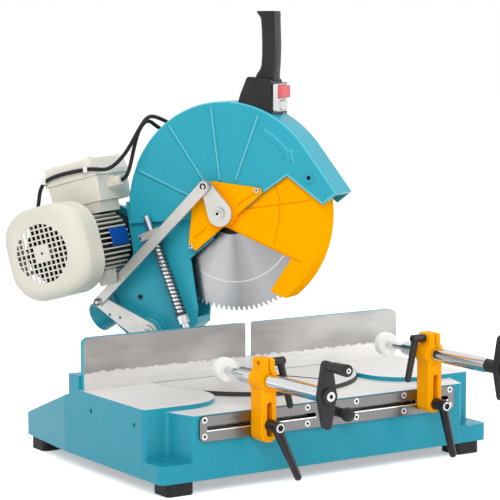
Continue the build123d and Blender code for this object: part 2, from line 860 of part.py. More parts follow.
def make_motor_frame():
    body = axle(motor_axis, shield_r, shield_right, frame_left[0])
    body += axle(motor_axis, spigot_motor_r, shield_right - 4, shield_right)
    body += axle(motor_axis, frame_r, *frame_left)
    fins = Sketch()
    fin = Pos(0, (frame_r + fin_r) / 2 - 1) * Rectangle(fin_thick, fin_r - frame_r + 2)
    for i in range(int(360 / fin_step)):
        angle = i * fin_step
        signed = angle - 360 if angle > 180 else angle
        if not fin_gap[0] < signed < fin_gap[1]:
            fins += Rot(0, 0, -angle) * fin
    body += side(motor_sketch(fins), frame_left[0] + 10, frame_left[1])
    pad_low = frame_r - 10
    pad = Rectangle(2 * box_half - 16, box_low - pad_low)
    pad = motor_sketch(Pos(box_shift, (pad_low + box_low) / 2) * pad)
    body += side(pad, frame_left[0], box_left[1] - 2)
    root, low = 10 - frame_r, motor_foot_low
    for a in motor_foot_at:
        foot = outline((a - 12, root), (a + 12, root), (a + 7, low), (a - 7, low))
        body += side(motor_sketch(foot), *motor_foot_left)
    body -= axle(motor_axis, bearing_r, near_bearing, near_bearing + bearing_wide)
    body -= axle(motor_axis, shaft_r + 2.5, -30, frame_left[1] + 10)
    body -= axle(motor_axis, stator_bore_r, rotor_left[0] - 4, rotor_left[1] + 4)
    body -= axle(motor_axis, bearing_r, far_bearing, far_bearing + bearing_wide)
    return body


def make_fan_cowl():
    r = cowl_corner_r
    outer = motor_sketch(RectangleRounded(2 * cowl_half, 2 * cowl_half, r))
    size = 2 * (cowl_half - cowl_wall)
    inner = motor_sketch(RectangleRounded(size, size, r - cowl_wall))
    body = side(outer, *cowl_left)
    body = fillet(body.edges().group_by(Axis.X)[0], cowl_round)
    hollow = side(inner, cowl_left[0] - 1, cowl_left[1] - cowl_wall)
    body -= fillet(hollow.edges().group_by(Axis.X)[0], cowl_round - cowl_wall)
    holes = Sketch()
    reach = int(grille_r / grille_pitch) + 1
    ring = Circle(grille_r) - Circle(grille_middle_r)
    for i in range(-reach, reach + 1):
        for j in range(-reach, reach + 1):
            a, b = i * grille_pitch, j * grille_pitch
            if grille_middle_r - 1 < hypot(a, b) < grille_r + 1:
                holes += ring & (Pos(a, b) * Rectangle(grille_hole, grille_hole))
    holes += Circle(2.5)
    body -= side(motor_sketch(holes), cowl_left[1] - 10, cowl_left[1] + 1)
    seat = Circle(frame_r) - Circle(frame_r - 8)
    seat_end = cowl_half - cowl_wall + 0.5
    for i in range(4):
        spoke = Pos((frame_r + seat_end) / 2 - 1, 0) * Rectangle(seat_end - frame_r + 2, 10)
        seat += Rot(0, 0, 90 * i) * spoke
    return body + side(motor_sketch(seat), frame_left[1], frame_left[1] + cowl_seat)


def trapezoid(low_half, high_half, low, high):
    left, right = box_shift - low_half, box_shift + low_half
    return outline((left, low), (right, low), (box_shift + high_half, high), (box_shift - high_half, high))


def make_terminal_box():
    body = side(motor_sketch(trapezoid(box_half - box_draft, box_half, box_low, box_high)), *box_left)
    body = fillet(body.edges().filter_by(lambda e: abs(e.center().X + sum(box_left) / 2) > 50).filter_by(
        lambda e: e.length < box_high - box_low + 2), 3)
    inner = trapezoid(box_half - box_draft - box_wall, box_half - box_wall, box_low + box_wall, box_high + 1)
    body -= side(motor_sketch(inner), box_left[0] + box_wall, box_left[1] - box_wall)
    b, left = gland_at
    u, v = motor_point(box_shift - box_half + box_draft, b)
    t = radians(motor_tilt)
    plane = Plane(origin=(-left, u, v), z_dir=(0, -cos(t), sin(t)))
    long = gland_out - box_half + box_draft
    body += extrude(plane * RegularPolygon(12.5, 6), 7 + box_draft)
    body += extrude(plane * Circle(9), long)
    return body - extrude(plane * Circle(lead_r + run_gap), long + 1)


def make_terminal_lid():
    wide = box_half + lid_over
    lip_high = box_high + lid_lip
    ends = (box_left[0] - lid_over, box_left[1] + lid_over)
    body = side(motor_sketch(trapezoid(wide - 1, wide - lid_draft, lip_high, lid_high)), *ends)
    up = (0, sin(radians(motor_tilt)), cos(radians(motor_tilt)))
    body = fillet(body.faces().sort_by(Axis((0, 0, 0), up))[-1].edges(), 4)
    body += side(motor_sketch(trapezoid(wide, wide, box_high, lip_high)), *ends)
    inner = trapezoid(wide - 5, wide - 5 - lid_draft, box_high - 1, lid_high - 4)
    return body - side(motor_sketch(inner), ends[0] + 5, ends[1] - 5)


def make_rotor():
    body = axle(motor_axis, shaft_r, -82, fan_left[1] + 2)
    return body + axle(motor_axis, rotor_r, *rotor_left)


def make_fan():
    body = axle(motor_axis, 2 * shaft_r, *fan_left)
    body += axle(motor_axis, fan_r, fan_left[0], fan_left[0] + 3)
    blades = Sketch()
    for i in range(8):
        blades += Rot(0, 0, 45 * i) * Pos(fan_r - 20, 0) * Rectangle(40, 2.5)
    body += side(Pos(*motor_axis) * blades, *fan_left)
    return body - axle(motor_axis, shaft_r, fan_left[0] - 1, fan_left[1] + 5)


# Handle and switch

def make_handle():
    base = outline((8, 609), (5, 620), (-9, 653), (-54, 650), (-58, 612), (-58, 590), (-30, 590))
    base -= disc(blade_axis, guard_r)
    body = side(base, -handle_half_w, handle_half_w)
    body = fillet(body.edges().filter_by(Axis.X).filter_by(lambda e: e.center().Z > 640), 6)
    stations = ((648, -44.5, 12.5, 16.0), (675, -44.5, 11.4, 14.6), (705, -45.0, 11.8, 15.2),
                (738, -44.5, 11.4, 14.8), (754, -43.0, 13.5, 15.6), (764, -42.0, 14.5, 15.8))
    rings = []
    for v, u, half_u, half_w in stations:
        rings.append(Pos(0, u, v) * RectangleRounded(2 * half_w, 2 * half_u, 8))
    grip = loft(rings)
    grip = fillet(grip.faces().sort_by(Axis.Z)[-1].edges(), 4)
    duct = outline((duct_rear, 572), (duct_rear, 642), (-48, 642), (-48, 572))
    joint = outline((duct_rear, 614), (duct_rear, 642), (-48, 642), (-48, 614))
    return body + grip + side(duct, -56, guard_right - 1) + side(joint, guard_right - 1, 0)


def make_switch():
    body = side(outline((-58, 594), (-58, 641), (-66, 641), (-66, 594)), -switch_half_w, switch_half_w)
    body = fillet(body.edges().filter_by(Axis.Y), 4)
    stop_hole = side(outline((-61, 617), (-61, 639), (-70, 639), (-70, 617)), -17, 17)
    start_hole = side(outline((-61, 597), (-61, 612), (-70, 612), (-70, 597)), -10, 10)
    return body - stop_hole - start_hole


def make_stop_button():
    body = side(outline((-63, 617.5), (-63, 638.5), (-73, 638.5), (-73, 617.5)), -16.5, 16.5)
    return fillet(body.edges().filter_by(Axis.Y), 3)


def make_start_button():
    body = side(outline((-63, 597.5), (-63, 611.5), (-69, 611.5), (-69, 597.5)), -9.5, 9.5)
    return fillet(body.edges().filter_by(Axis.Y), 3)


# Leads

def lead(name, points):
    pts = [Vector(-w, u, v) for u, v, w in points]
    radii = []
    for before, here, after in zip(pts, pts[1:], pts[2:]):
        a, b = (here - before), (after - here)
        half_turn = radians(a.get_angle(b)) / 2
        radii.append(round(0.45 * min(a.length, b.length) / max(0.02, tan(half_turn)), 1))
    path = FilletPolyline(*pts, radius=radii)
    tube = sweep(Plane(origin=pts[0], z_dir=(pts[1] - pts[0])) * Circle(lead_r), path=path)
    whole = pi * lead_r ** 2 * path.length
    print(name, round(path.length, 1), "mm long, radii", radii, "volume share", round(tube.volume / whole, 4))
    return tube


def on_guard(r, angle, left):
    u, v = polar(blade_axis, r, angle)
    return (u, v, left)


def make_switch_lead():
    start, out = [motor_point(box_shift - gland_out + off, gland_at[0]) for off in (7.0, -6.5)]
    track = [on_guard(164, angle, -43) for angle in (52, 66, 80)]
    return lead("switch lead", [
        (*start, gland_at[1]), (*out, gland_at[1]), (211.8, 486.5, 46), (207.5, 504, 45), (204.5, 522, 42.5),
        (201.8, 541, 38), (199.5, 560, 29), (195, 576, 9), (187.5, 560, -16), (174, 545, -42), *track,
        (24, 581, -43), (duct_rear + 0.1, 581, -43)])


def make_brake_lead():
    lead_in = [(*motor_point(a, b), w) for a, b, w in (
        (73.3, 0, frame_left[1]), (73.3, 0, 142), (76, 13, 126), (79, 34, 113), (74, 60, 105))]
    track = [on_guard(178, angle, -50) for angle in (66, 76)]
    return lead("brake lead", lead_in + [
        (365.6, 427.5, 100.5), (364.5, 447, 98.8), (355.6, 464.5, 98), (335.1, 474.2, 98), (304.1, 482.9, 98),
        (268.1, 489.6, 98), (249.9, 491, 98.2), (235.3, 489.6, 95), (224.3, 493, 88), (214, 505.1, 76),
        (207, 521, 62), (199, 541, 52), (191, 562, 43), (186, 583, 22), (178, 578, -4), (167, 563, -36),
        (149, 551, -50), (122, 556, -51), *track, (30, 593.5, -49), (duct_rear + 0.1, 593.5, -49)])


def make_lead_clips(cord):
    clips = []
    for u, v in ((354.0, 465.4), (268.1, 489.6)):
        clip = Pos(-box_left[1] - lid_over - 4.4, u, v) * Box(8.8, 7.6, 11)
        clips.append(clip - cord)
    return clips


# Clamps

def make_slide_bolt(x):
    head_half = bolt_head_half
    neck_half = rail_slot_half - slide_gap
    rail_face = base_front - rail_thick
    head = block(x - head_half, x + head_half, base_front + slide_gap, base_front + 8,
                 rail_mid - head_half, rail_mid + head_half)
    neck = block(x - bolt_r, x + bolt_r, rail_face - seat_gap, base_front + 1,
                 rail_mid - neck_half, rail_mid + neck_half)
    return head + neck + along_y(x, rail_mid, bolt_r, lock_hub_end + 3, rail_face - seat_gap)


def make_clamp_bracket(x, z):
    low = z - foot_drop
    left, right = x - bracket_half, x + bracket_half
    face = outline((left, low), (right, low), (right, z), (left, z))
    face = fillet(face.vertices().group_by(Axis.Y)[0], bracket_half - 1.5)
    ear = Pos(x, z + ear_rise / 2) * Rectangle(2 * ear_half, ear_rise)
    face += disc((x, z), boss_r) + fillet(ear.vertices().group_by(Axis.Y)[-1], 4)
    body = front_view(face, bracket_back, bracket_front)
    body = fillet(body.faces().sort_by(Axis.Y)[0].edges(), 2.5)
    body += along_y(x, z, boss_r - 3, bracket_front - 3, bracket_back + 3)
    slot_mid = low + (slot_low + slot_high) / 2
    slot_long = slot_high - slot_low
    slot = Pos(x, slot_mid) * Rot(0, 0, 90) * SlotOverall(slot_long, 2 * (bolt_r + slide_gap))
    rim = Pos(x, slot_mid) * Rot(0, 0, 90) * SlotOverall(slot_long + 8, 2 * (bolt_r + 4))
    body += front_view(rim, bracket_front + 3, bracket_front - slot_rim_high)
    body -= front_view(slot, bracket_back + 5, bracket_front - 5)
    body -= along_y(x, z, tube_r + run_gap, bracket_front - 10, bracket_back + 10)
    body -= block(x - 1.5, x + 1.5, bracket_front - 5, bracket_back + 5, z, z + ear_rise + 1)
    body -= along_x(bracket_mid, z + ear_pin_rise, ear_pin_r + run_gap, x - 30, x + 30)
    return body


def grip_arm(start, end, r_start, r_end):
    reach = end - start
    length = reach.length
    slant = r_end * sin(radians(45))
    edge = Polyline((0, length + r_end), (0, 0), (r_start, 0), (r_end, length))
    edge += ThreePointArc((r_end, length), (slant, length + slant), (0, length + r_end))
    arm = revolve(Plane.XZ * make_face(edge), Axis.Z)
    return Plane(origin=start, z_dir=reach) * arm


def make_lock_lever(x, lean):
    hub = along_y(x, rail_mid, lock_hub_r, lock_hub_end, lock_hub_end + lock_hub_long)
    hub = fillet(hub.edges().group_by(Axis.Y)[0], 2)
    start = Vector(x, lock_hub_end + 9, rail_mid - 3)
    end = Vector(x + lean, lock_hub_end - 18, rail_mid - lock_arm_drop)
    lever = hub + grip_arm(start, end, 8.0, 6.0)
    return lever - along_y(x, rail_mid, bolt_r + run_gap, lock_hub_end + 3 - seat_gap, bracket_front)


def make_tube_lever(x, z, sign, lean):
    pin_z = z + ear_pin_rise
    hub_in, hub_out = ear_half + slide_gap, ear_half + lever_hub_long
    x0, x1 = sorted((x - sign * (ear_half - 4), x + sign * (hub_in + 4)))
    pin = along_x(bracket_mid, pin_z, ear_pin_r, x0, x1)
    x0, x1 = sorted((x + sign * hub_in, x + sign * hub_out))
    hub = fillet(along_x(bracket_mid, pin_z, lever_hub_r, x0, x1).edges(), 1.5)
    start = Vector(x + sign * (hub_out - 7), bracket_mid, pin_z - 2)
    end = Vector(x + sign * hub_out, bracket_mid + lean, pin_z - lever_arm_drop)
    return pin + hub + grip_arm(start, end, 6.2, 5.4)


def make_tube(x, z, front):
    tube = along_y(x, z, tube_r, front, tube_back)
    tube += along_y(x, z, tube_r - 3.5, tube_back, tube_back + nose_long)
    return tube - along_y(x, z, tube_bore_r, front - 1, tube_back + nose_long + 1)


def make_push_rod(x, z, pad_y):
    back = pad_y - pad_thick
    rod = along_y(x, z, push_r, back - push_long, back + 4)
    return rod - along_y(x, z, screw_r + run_gap, back - push_long - 1, back - push_long + push_bore_long)


def make_pad(x, z, pad_y):
    pad = along_y(x, z, pad_r, pad_y - pad_thick, pad_y)
    pad = fillet(pad.edges().group_by(Axis.Y)[-1], 5)
    pad = fillet(pad.edges().group_by(Axis.Y)[0], 2)
    return pad - along_y(x, z, push_r, pad_y - pad_thick, pad_y - pad_thick + 4)


def make_crank(x, z, front, collar_long):
    y_plate = front - collar_long
    y_grip = y_plate - crank_thick
    grip_z = z + crank_reach
    spindle = along_y(x, z, screw_r, y_plate - 6, front + screw_long)
    collar = along_y(x, z, crank_collar_r, y_plate, front - seat_gap)
    plate = tapered((x, z), crank_hub_r, (x, grip_z), 8)
    plate += tapered((x, z), crank_hub_r, (x, z - crank_reach), 7)
    body = front_view(plate, y_plate, y_grip)
    body = fillet(body.faces().sort_by(Axis.Y)[0].edges(), 2)
    hub = along_y(x, z, crank_hub_r - 3, y_grip - 4, y_plate)
    grip_plane = Plane(origin=(x, y_grip + 1, grip_z), z_dir=(0, -1, 0))
    from_plane = (Align.CENTER, Align.CENTER, Align.MIN)
    grip = grip_plane * Cone(7.2, 10.0, crank_grip_long + 1, align=from_plane)
    grip = fillet(grip.edges().group_by(Axis.Y)[0], 3)
    return spindle + collar + body + hub + grip


# All parts, base pieces first

parts["base_casting"] = make_base()
parts["rubber_feet"] = make_feet()
parts["fence_left"] = make_fence(-1)
parts["fence_right"] = make_fence(1)
parts["clamp_rail"] = make_rail()
parts["rail_screws"] = make_rail_screws()
parts["lock_knob"] = make_lock_knob()
print("base done")

brake_lead = make_brake_lead()
head = {
    "turntable": make_turntable(),
    "swivel_bolt": make_swivel_bolt(),
    "arm_bracket": make_bracket(),
    "pivot_shaft": make_pivot_shaft(),
    "link_anchor": make_anchor(),
    "swing_arm": make_arm(),
    "upper_guard": make_upper_guard(),
    "arbor_cover": make_arbor_cover(),
    "spring_lug": make_spring_lug(),
    "motor_frame": make_motor_frame(),
    "fan_cowl": make_fan_cowl(),
    "terminal_box": make_terminal_box(),
    "terminal_lid": make_terminal_lid(),
    "switch_lead": make_switch_lead(),
    "brake_lead": brake_lead,
    "lead_clips": make_lead_clips(brake_lead),
    "handle": make_handle(),
    "switch_housing": make_switch(),
    "belt_cover": make_belt_cover(),
    "drive_belt": make_belt(),
    "bearings": make_bearings(),
    "saw_blade": make_blade(),
    "arbor": make_arbor(),
    "outer_flange": make_outer_flange(),
    "arbor_bolt": make_arbor_bolt(),
    "arbor_pulley": pulley(blade_axis, arbor_pulley_r),
    "rotor_shaft": make_rotor(),
    "cooling_fan": make_fan(),
    "motor_pulley": pulley(motor_axis, motor_pulley_r),
    "lower_guard": make_lower_guard(),
    "guard_lever": make_guard_lever(),
    "link_bar": make_link(),
    "spring_rod": make_rod(),
    "return_spring": make_spring(),
    "stop_button": make_stop_button(),
    "start_button": make_start_button(),
}
for name, shape in head.items():
    pieces = shape if isinstance(shape, list) else [shape]
    parts[name] = [Rot(0, 0, rest_mitre) * piece for piece in pieces]
print("head done")

clamps = {
    "left": {"x": -151.5, "z": 177.5, "pad_y": -150.0, "front": -438.0, "collar": 5.0,
             "lever_side": 1, "lock_lean": 22.0, "lever_lean": -18.0},
    "right": {"x": 185.3, "z": 190.2, "pad_y": -145.0, "front": -430.0, "collar": 28.0,
              "lever_side": -1, "lock_lean": 0.0, "lever_lean": 10.0},
}
for which, set_up in clamps.items():
    x, z = set_up["x"], set_up["z"]
    parts["slide_bolt_" + which] = make_slide_bolt(x)
    parts["clamp_bracket_" + which] = make_clamp_bracket(x, z)
    parts["lock_lever_" + which] = make_lock_lever(x, set_up["lock_lean"])
    parts["tube_lever_" + which] = make_tube_lever(x, z, set_up["lever_side"], set_up["lever_lean"])
    parts["clamp_tube_" + which] = make_tube(x, z, set_up["front"])
    parts["push_rod_" + which] = make_push_rod(x, z, set_up["pad_y"])
    parts["clamp_pad_" + which] = make_pad(x, z, set_up["pad_y"])
    parts["crank_" + which] = make_crank(x, z, set_up["front"], set_up["collar"])
print("clamps done")

os.makedirs("parts", exist_ok=True)
origin_y = (front_bolt_y + rear_bolt_y) / 2
for name, shape in parts.items():
    pieces = shape if isinstance(shape, list) else [shape]
    solids = [Pos(0, -origin_y, 0) * solid for piece in pieces for solid in piece.solids()]
    saved = solids[0] if len(solids) == 1 else Compound(children=solids)
    export_step(saved, "parts/" + name + ".step")
    print(name, len(solids), "solids", round(sum(s.volume for s in solids) / 1000, 1), "cm3")
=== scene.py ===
import bpy
import math
import numpy as np
from mathutils import Matrix, Vector


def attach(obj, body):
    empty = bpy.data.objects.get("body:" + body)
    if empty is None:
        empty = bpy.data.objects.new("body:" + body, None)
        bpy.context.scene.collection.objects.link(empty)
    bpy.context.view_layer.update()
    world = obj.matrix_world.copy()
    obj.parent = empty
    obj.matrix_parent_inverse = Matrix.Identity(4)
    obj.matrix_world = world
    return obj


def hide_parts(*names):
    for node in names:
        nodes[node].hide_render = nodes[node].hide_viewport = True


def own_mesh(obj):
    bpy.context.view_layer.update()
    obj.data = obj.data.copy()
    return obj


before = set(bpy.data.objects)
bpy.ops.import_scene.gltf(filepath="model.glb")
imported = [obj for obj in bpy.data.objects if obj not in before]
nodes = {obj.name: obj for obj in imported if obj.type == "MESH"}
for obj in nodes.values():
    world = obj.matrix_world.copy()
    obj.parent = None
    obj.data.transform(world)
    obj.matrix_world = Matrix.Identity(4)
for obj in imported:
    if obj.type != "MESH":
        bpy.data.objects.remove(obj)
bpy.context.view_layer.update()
print("frame loaded:", len(nodes), "nodes")

# head pieces are worked out in side view: u to the rear, v up, w to the left of the blade, all in mm
mitreTurn = math.radians(30)
rearWay = np.array([-math.sin(mitreTurn), math.cos(mitreTurn), 0.0])
leftWay = np.array([-math.cos(mitreTurn), -math.sin(mitreTurn), 0.0])
upWay = np.array([0.0, 0.0, 1.0])
tableBack = 19.0  # the turntable's axis lies this far behind the model's origin
tableCentre = np.array([0.0, tableBack / 1000, 0.0])
bladeAxis = (30.7, 417.7)
motorAxis = (284.0, 352.3)
motorTilt = math.radians(15)
motorUp = math.sin(motorTilt) * rearWay + math.cos(motorTilt) * upWay


def evenArrays(*values):
    # numbers and arrays brought to one shape
    return np.broadcast_arrays(*(np.asarray(value, float) for value in values))


def headPoint(u, v, w):
    # point of the head in the model's frame: rear, up and left steps from the turntable's axis
    u, v, w = evenArrays(u, v, w)
    steps = u[..., None] * rearWay + v[..., None] * upWay + w[..., None] * leftWay
    return tableCentre + steps / 1000


def basePoint(x, y, z):
    # point of the base or a clamp in the model's frame, from mm about the turntable's axis
    x, y, z = evenArrays(x, y, z)
    return np.stack([x, y + tableBack, z], axis=-1) / 1000


def motorPoint(a, b, w):
    # point of the motor: a to its rear and b up, square to its tilted box
    u = motorAxis[0] + a * math.cos(motorTilt) + b * math.sin(motorTilt)
    v = motorAxis[1] - a * math.sin(motorTilt) + b * math.cos(motorTilt)
    return headPoint(u, v, w)


# surfaces

def fullTurn(count):
    # angles of evenly spaced points once round a circle
    return np.arange(count) * 2 * math.pi / count


def gridSurface(points):
    # rows of points, each closed round, become quads, and one face caps each end
    rows, columns = points.shape[:2]
    i = np.arange(rows - 1)[:, None]
    j = np.arange(columns)[None, :]
    nextI, nextJ = i + 1, (j + 1) % columns
    corners = [i * columns + j, i * columns + nextJ, nextI * columns + nextJ, nextI * columns + j]
    faces = np.stack(np.broadcast_arrays(*corners), axis=-1).reshape(-1, 4).tolist()
    faces.append(list(range(columns - 1, -1, -1)))
    faces.append(list(range((rows - 1) * columns, rows * columns)))
    return points.reshape(-1, 3), faces


# screw heads: mm sunk in the face, the soft edge's shares of height and radius, and points round
headShape = {"sunk": 0.3, "softHeight": 0.35, "softRadius": 0.2, "shoulder": 0.3, "segments": 36}


def socketHead(start, axis, radius, height, socket, deep=1.4):
    # a round screw head with a hexagon socket: circles up its side and over its edge, then the same angles
    # on a hexagon, whose reach is its half width over the cosine of the angle from the nearest flat's middle;
    # the socket's own faces take the piece's second finish
    segments = headShape["segments"]
    axis = np.asarray(axis, float) / np.linalg.norm(axis)
    upright = abs(axis[2]) >= 0.9
    across = np.cross(axis, [1.0, 0.0, 0.0] if upright else [0.0, 0.0, 1.0])
    across /= np.linalg.norm(across)
    other = np.cross(axis, across)
    angle = fullTurn(segments)
    hexagon = socket / np.cos(np.mod(angle, math.pi / 3) - math.pi / 6)
    even = np.ones(segments)
    soft = min(headShape["softHeight"] * height, headShape["softRadius"] * radius)
    shoulder = headShape["shoulder"] * soft
    rows = [(-headShape["sunk"], radius * even), (height - soft, radius * even),
            (height - shoulder, (radius - shoulder) * even), (height, (radius - soft) * even),
            (height, hexagon), (height - deep, hexagon)]
    ring = np.cos(angle)[:, None] * across + np.sin(angle)[:, None] * other
    points = np.stack([start + (along * axis + reach[:, None] * ring) / 1000 for along, reach in rows])
    points, faces = gridSurface(points)
    outside = (len(rows) - 2) * segments
    return points, faces, [0] * outside + [1] * segments + [0, 1]


def pathFrames(path):
    # two steady cross ways along a path, the first kept nearest to the one before it
    tangent = np.gradient(path, axis=0)
    tangent /= np.linalg.norm(tangent, axis=1)[:, None]
    slantWay = [0.31, 0.22, 0.93]  # no path starts along this
    side = np.cross(tangent[0], slantWay)
    sides = []
    for t in tangent:
        side = side - t * (side @ t)
        side = side / np.linalg.norm(side)
        sides.append(side)
    sides = np.array(sides)
    return sides, np.cross(tangent, sides)


def tubeAlong(path, radius, sides):
    # a circle of the given radius, one number or one for each point, carried along a path
    across, other = pathFrames(path)
    radius = np.broadcast_to(np.asarray(radius, float), (len(path),))
    angle = fullTurn(sides)
    ring = np.cos(angle)[None, :, None] * across[:, None] + np.sin(angle)[None, :, None] * other[:, None]
    return gridSurface(path[:, None] + radius[:, None, None] * ring)


def sharpEdges(piece, angle):
    # splits the shading at edges sharper than the angle
    split = piece.modifiers.new("sharpEdges", "EDGE_SPLIT")
    split.split_angle = math.radians(angle)
    split.use_edge_sharp = False


def newPiece(name, surfaces, materials, body, smoothAngle=35, replaced=()):
    # joins (points, faces) surfaces into one object at the origin that rides on a body;
    # a surface may bring a third list, with the number of the finish on each face
    offset, allPoints, allFaces, allFinishes = 0, [], [], []
    for points, faces, *finish in surfaces:
        allPoints.append(points)
        allFaces += [[index + offset for index in face] for face in faces]
        allFinishes += finish[0] if finish else [0] * len(faces)
        offset += len(points)
    mesh = bpy.data.meshes.new(name)
    mesh.from_pydata(np.concatenate(allPoints).tolist(), [], allFaces)
    for material in materials:
        mesh.materials.append(material)
    mesh.polygons.foreach_set("use_smooth", np.ones(len(mesh.polygons), bool))
    mesh.polygons.foreach_set("material_index", np.array(allFinishes, dtype=np.int32))
    mesh.update()
    piece = bpy.data.objects.new(name, mesh)
    bpy.context.scene.collection.objects.link(piece)
    sharpEdges(piece, smoothAngle)
    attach(piece, body)
    if replaced:
        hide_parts(*replaced)
    return piece


# finishes

def linearColour(red, green, blue):
    # screen values from 0 to 255 to the renderer's linear ones
    values = np.array([red, green, blue]) / 255
    values = np.where(values <= 0.04045, values / 12.92, ((values + 0.055) / 1.055) ** 2.4)
    return (*values.tolist(), 1.0)


def shadeOf(colour, factor, lift=0.0):
    # a deeper or paler tone of a colour
    return tuple(min(1.0, part * factor + lift) for part in colour[:3]) + (1.0,)


def addNode(tree, kind, settings=None, **inputs):
    # inputs go by their label, or by number as i0 and i1
    node = tree.nodes.new(kind)
    for key, value in (settings or {}).items():
        setattr(node, key, value)
    for key, value in inputs.items():
        fill(tree, node.inputs[key if key in node.inputs else int(key[1:])], value)
    return node


def fill(tree, socket, value):
    # links another node's output, or sets a plain value
    if isinstance(value, bpy.types.NodeSocket):
        tree.links.new(value, socket)
    else:
        socket.default_value = value


def startMaterial(name, sockets):
    # a material with fixed sockets set, and its texture coordinates
    material = bpy.data.materials.new(name)
    material.use_nodes = True
    tree = material.node_tree
    shader = tree.nodes["Principled BSDF"]
    for key, value in sockets.items():
        shader.inputs[key].default_value = value
    place = addNode(tree, "ShaderNodeTexCoord")
    return material, tree, shader, place


def insideOf(material):
    # the tree, shader and coordinates of a finish, for a change on top of it
    tree = material.node_tree
    place = next(node for node in tree.nodes if node.type == "TEX_COORD")
    return tree, tree.nodes["Principled BSDF"], place


def noiseAt(tree, place, scale, detail, stretch=(1, 1, 1)):
    spread = addNode(tree, "ShaderNodeMapping", Vector=place.outputs["Object"], Scale=stretch)
    noise = addNode(tree, "ShaderNodeTexNoise", Vector=spread.outputs[0], Scale=scale, Detail=detail)
    return noise.outputs["Fac"]


def coordinates(tree, place):
    # x, y and z of the surface, in the model's metres
    return addNode(tree, "ShaderNodeSeparateXYZ", Vector=place.outputs["Object"]).outputs


def rangeOf(tree, value, low, high, newLow, newHigh):
    node = addNode(tree, "ShaderNodeMapRange", {"clamp": True}, Value=value)
    for index, number in zip((1, 2, 3, 4), (low, high, newLow, newHigh)):
        node.inputs[index].default_value = number
    return node.outputs[0]


def mathOf(tree, operation, first, second=0.0):
    return addNode(tree, "ShaderNodeMath", {"operation": operation}, i0=first, i1=second).outputs[0]


def vectorOf(tree, operation, first, second=(0, 0, 0)):
    return addNode(tree, "ShaderNodeVectorMath", {"operation": operation}, i0=first, i1=second).outputs


def mixColour(tree, factor, first, second):
    node = addNode(tree, "ShaderNodeMix", {"data_type": "RGBA"})
    for index, value in zip((0, 6, 7), (factor, first, second)):
        fill(tree, node.inputs[index], value)
    return node.outputs[2]


def mixNumber(tree, factor, first, second):
    node = addNode(tree, "ShaderNodeMix", {"data_type": "FLOAT"})
    for index, value in zip((0, 2, 3), (factor, first, second)):
        fill(tree, node.inputs[index], value)
    return node.outputs[0]


def underneath(shader, socket):
    # what a finish already feeds into a socket
    return shader.inputs[socket].links[0].from_socket


def colourOver(tree, shader, mask, colour):
    # another colour where the mask is 1
    mixed = mixColour(tree, mask, underneath(shader, "Base Color"), colour)
    tree.links.new(mixed, shader.inputs["Base Color"])


def roundedNormal(tree, radius):
    # normals that turn smoothly over each edge
    return addNode(tree, "ShaderNodeBevel", {"samples": 4}, Radius=radius).outputs[0]


def edgeMask(tree, normal, full=0.80, start=0.985):
    # 1 on the edges, where the smooth normal leaves the face's own
    surface = addNode(tree, "ShaderNodeNewGeometry")
    alike = vectorOf(tree, "DOT_PRODUCT", normal, surface.outputs["True Normal"])["Value"]
    return rangeOf(tree, alike, full, start, 1.0, 0.0)


def bumpOf(tree, height, strength, distance, normal=None):
    node = addNode(tree, "ShaderNodeBump", Height=height, Strength=strength, Distance=distance)
    if normal is not None:
        tree.links.new(normal, node.inputs["Normal"])
    return node.outputs[0]


# the middle of a noise's values, over which a tone or a gloss changes
toneBand = (0.35, 0.65)
glossBand = (0.3, 0.7)

# noises are (scale, detail), lengths are in metres
paintLook = {"cloud": (9.0, 3.0), "shade": 0.03, "edge": 0.0016, "wear": (60.0, 3.0), "paleEdges": (0.25, 0.8),
             "smear": (35.0, 5.0), "smearSteps": (-0.05, 0.08), "peel": (900.0, 2.0), "peelHeight": 0.0004,
             "coatRoughness": 0.12}
metalLook = {"lines": (1.0, 3.0), "cloud": (14.0, 4.0), "edge": 0.0008, "gloss": (0.75, 1.35),
             "lineHeight": 0.0004}
plasticLook = {"cloud": (22.0, 4.0), "edge": 0.0010, "lift": 0.01, "paleEdges": 0.5, "cloudMost": 0.5,
               "glossSteps": (-0.06, 0.08), "grainDetail": 2.0, "grainHeight": 0.0003}
milledLook = {"lines": (1.0, 3.0), "cloud": (7.0, 4.0), "shares": (0.55, 0.45), "dull": 0.14,
              "gloss": (0.8, 1.3), "lineHeight": 0.0004}


def paintFinish(name, colour, edgeColour, roughness=0.27, peel=0.05, gloss=0.22, coat=0.06):
    # sprayed paint: fine orange peel, faint cloudy tone, thinner and paler along the edges in patches; the
    # paler edges are partly wear and partly a painted highlight
    look = paintLook
    sockets = {"Specular IOR Level": gloss, "Coat Weight": coat, "Coat Roughness": look["coatRoughness"]}
    material, tree, shader, place = startMaterial(name, sockets)
    normal = roundedNormal(tree, look["edge"])
    cloud = rangeOf(tree, noiseAt(tree, place, *look["cloud"]), *toneBand, 0.0, 1.0)
    tone = mixColour(tree, cloud, shadeOf(colour, 1 - look["shade"]), shadeOf(colour, 1 + look["shade"]))
    patches = rangeOf(tree, noiseAt(tree, place, *look["wear"]), *glossBand, *look["paleEdges"])
    # paler edges in patches: partly worn paint, partly a painted edge highlight
    paleEdges = mathOf(tree, "MULTIPLY", edgeMask(tree, normal), patches)
    tree.links.new(mixColour(tree, paleEdges, tone, edgeColour), shader.inputs["Base Color"])
    smear = noiseAt(tree, place, *look["smear"])
    limits = (roughness + step for step in look["smearSteps"])
    tree.links.new(rangeOf(tree, smear, *glossBand, *limits), shader.inputs["Roughness"])
    orangePeel = noiseAt(tree, place, *look["peel"])
    tree.links.new(bumpOf(tree, orangePeel, peel, look["peelHeight"], normal), shader.inputs["Normal"])
    return material


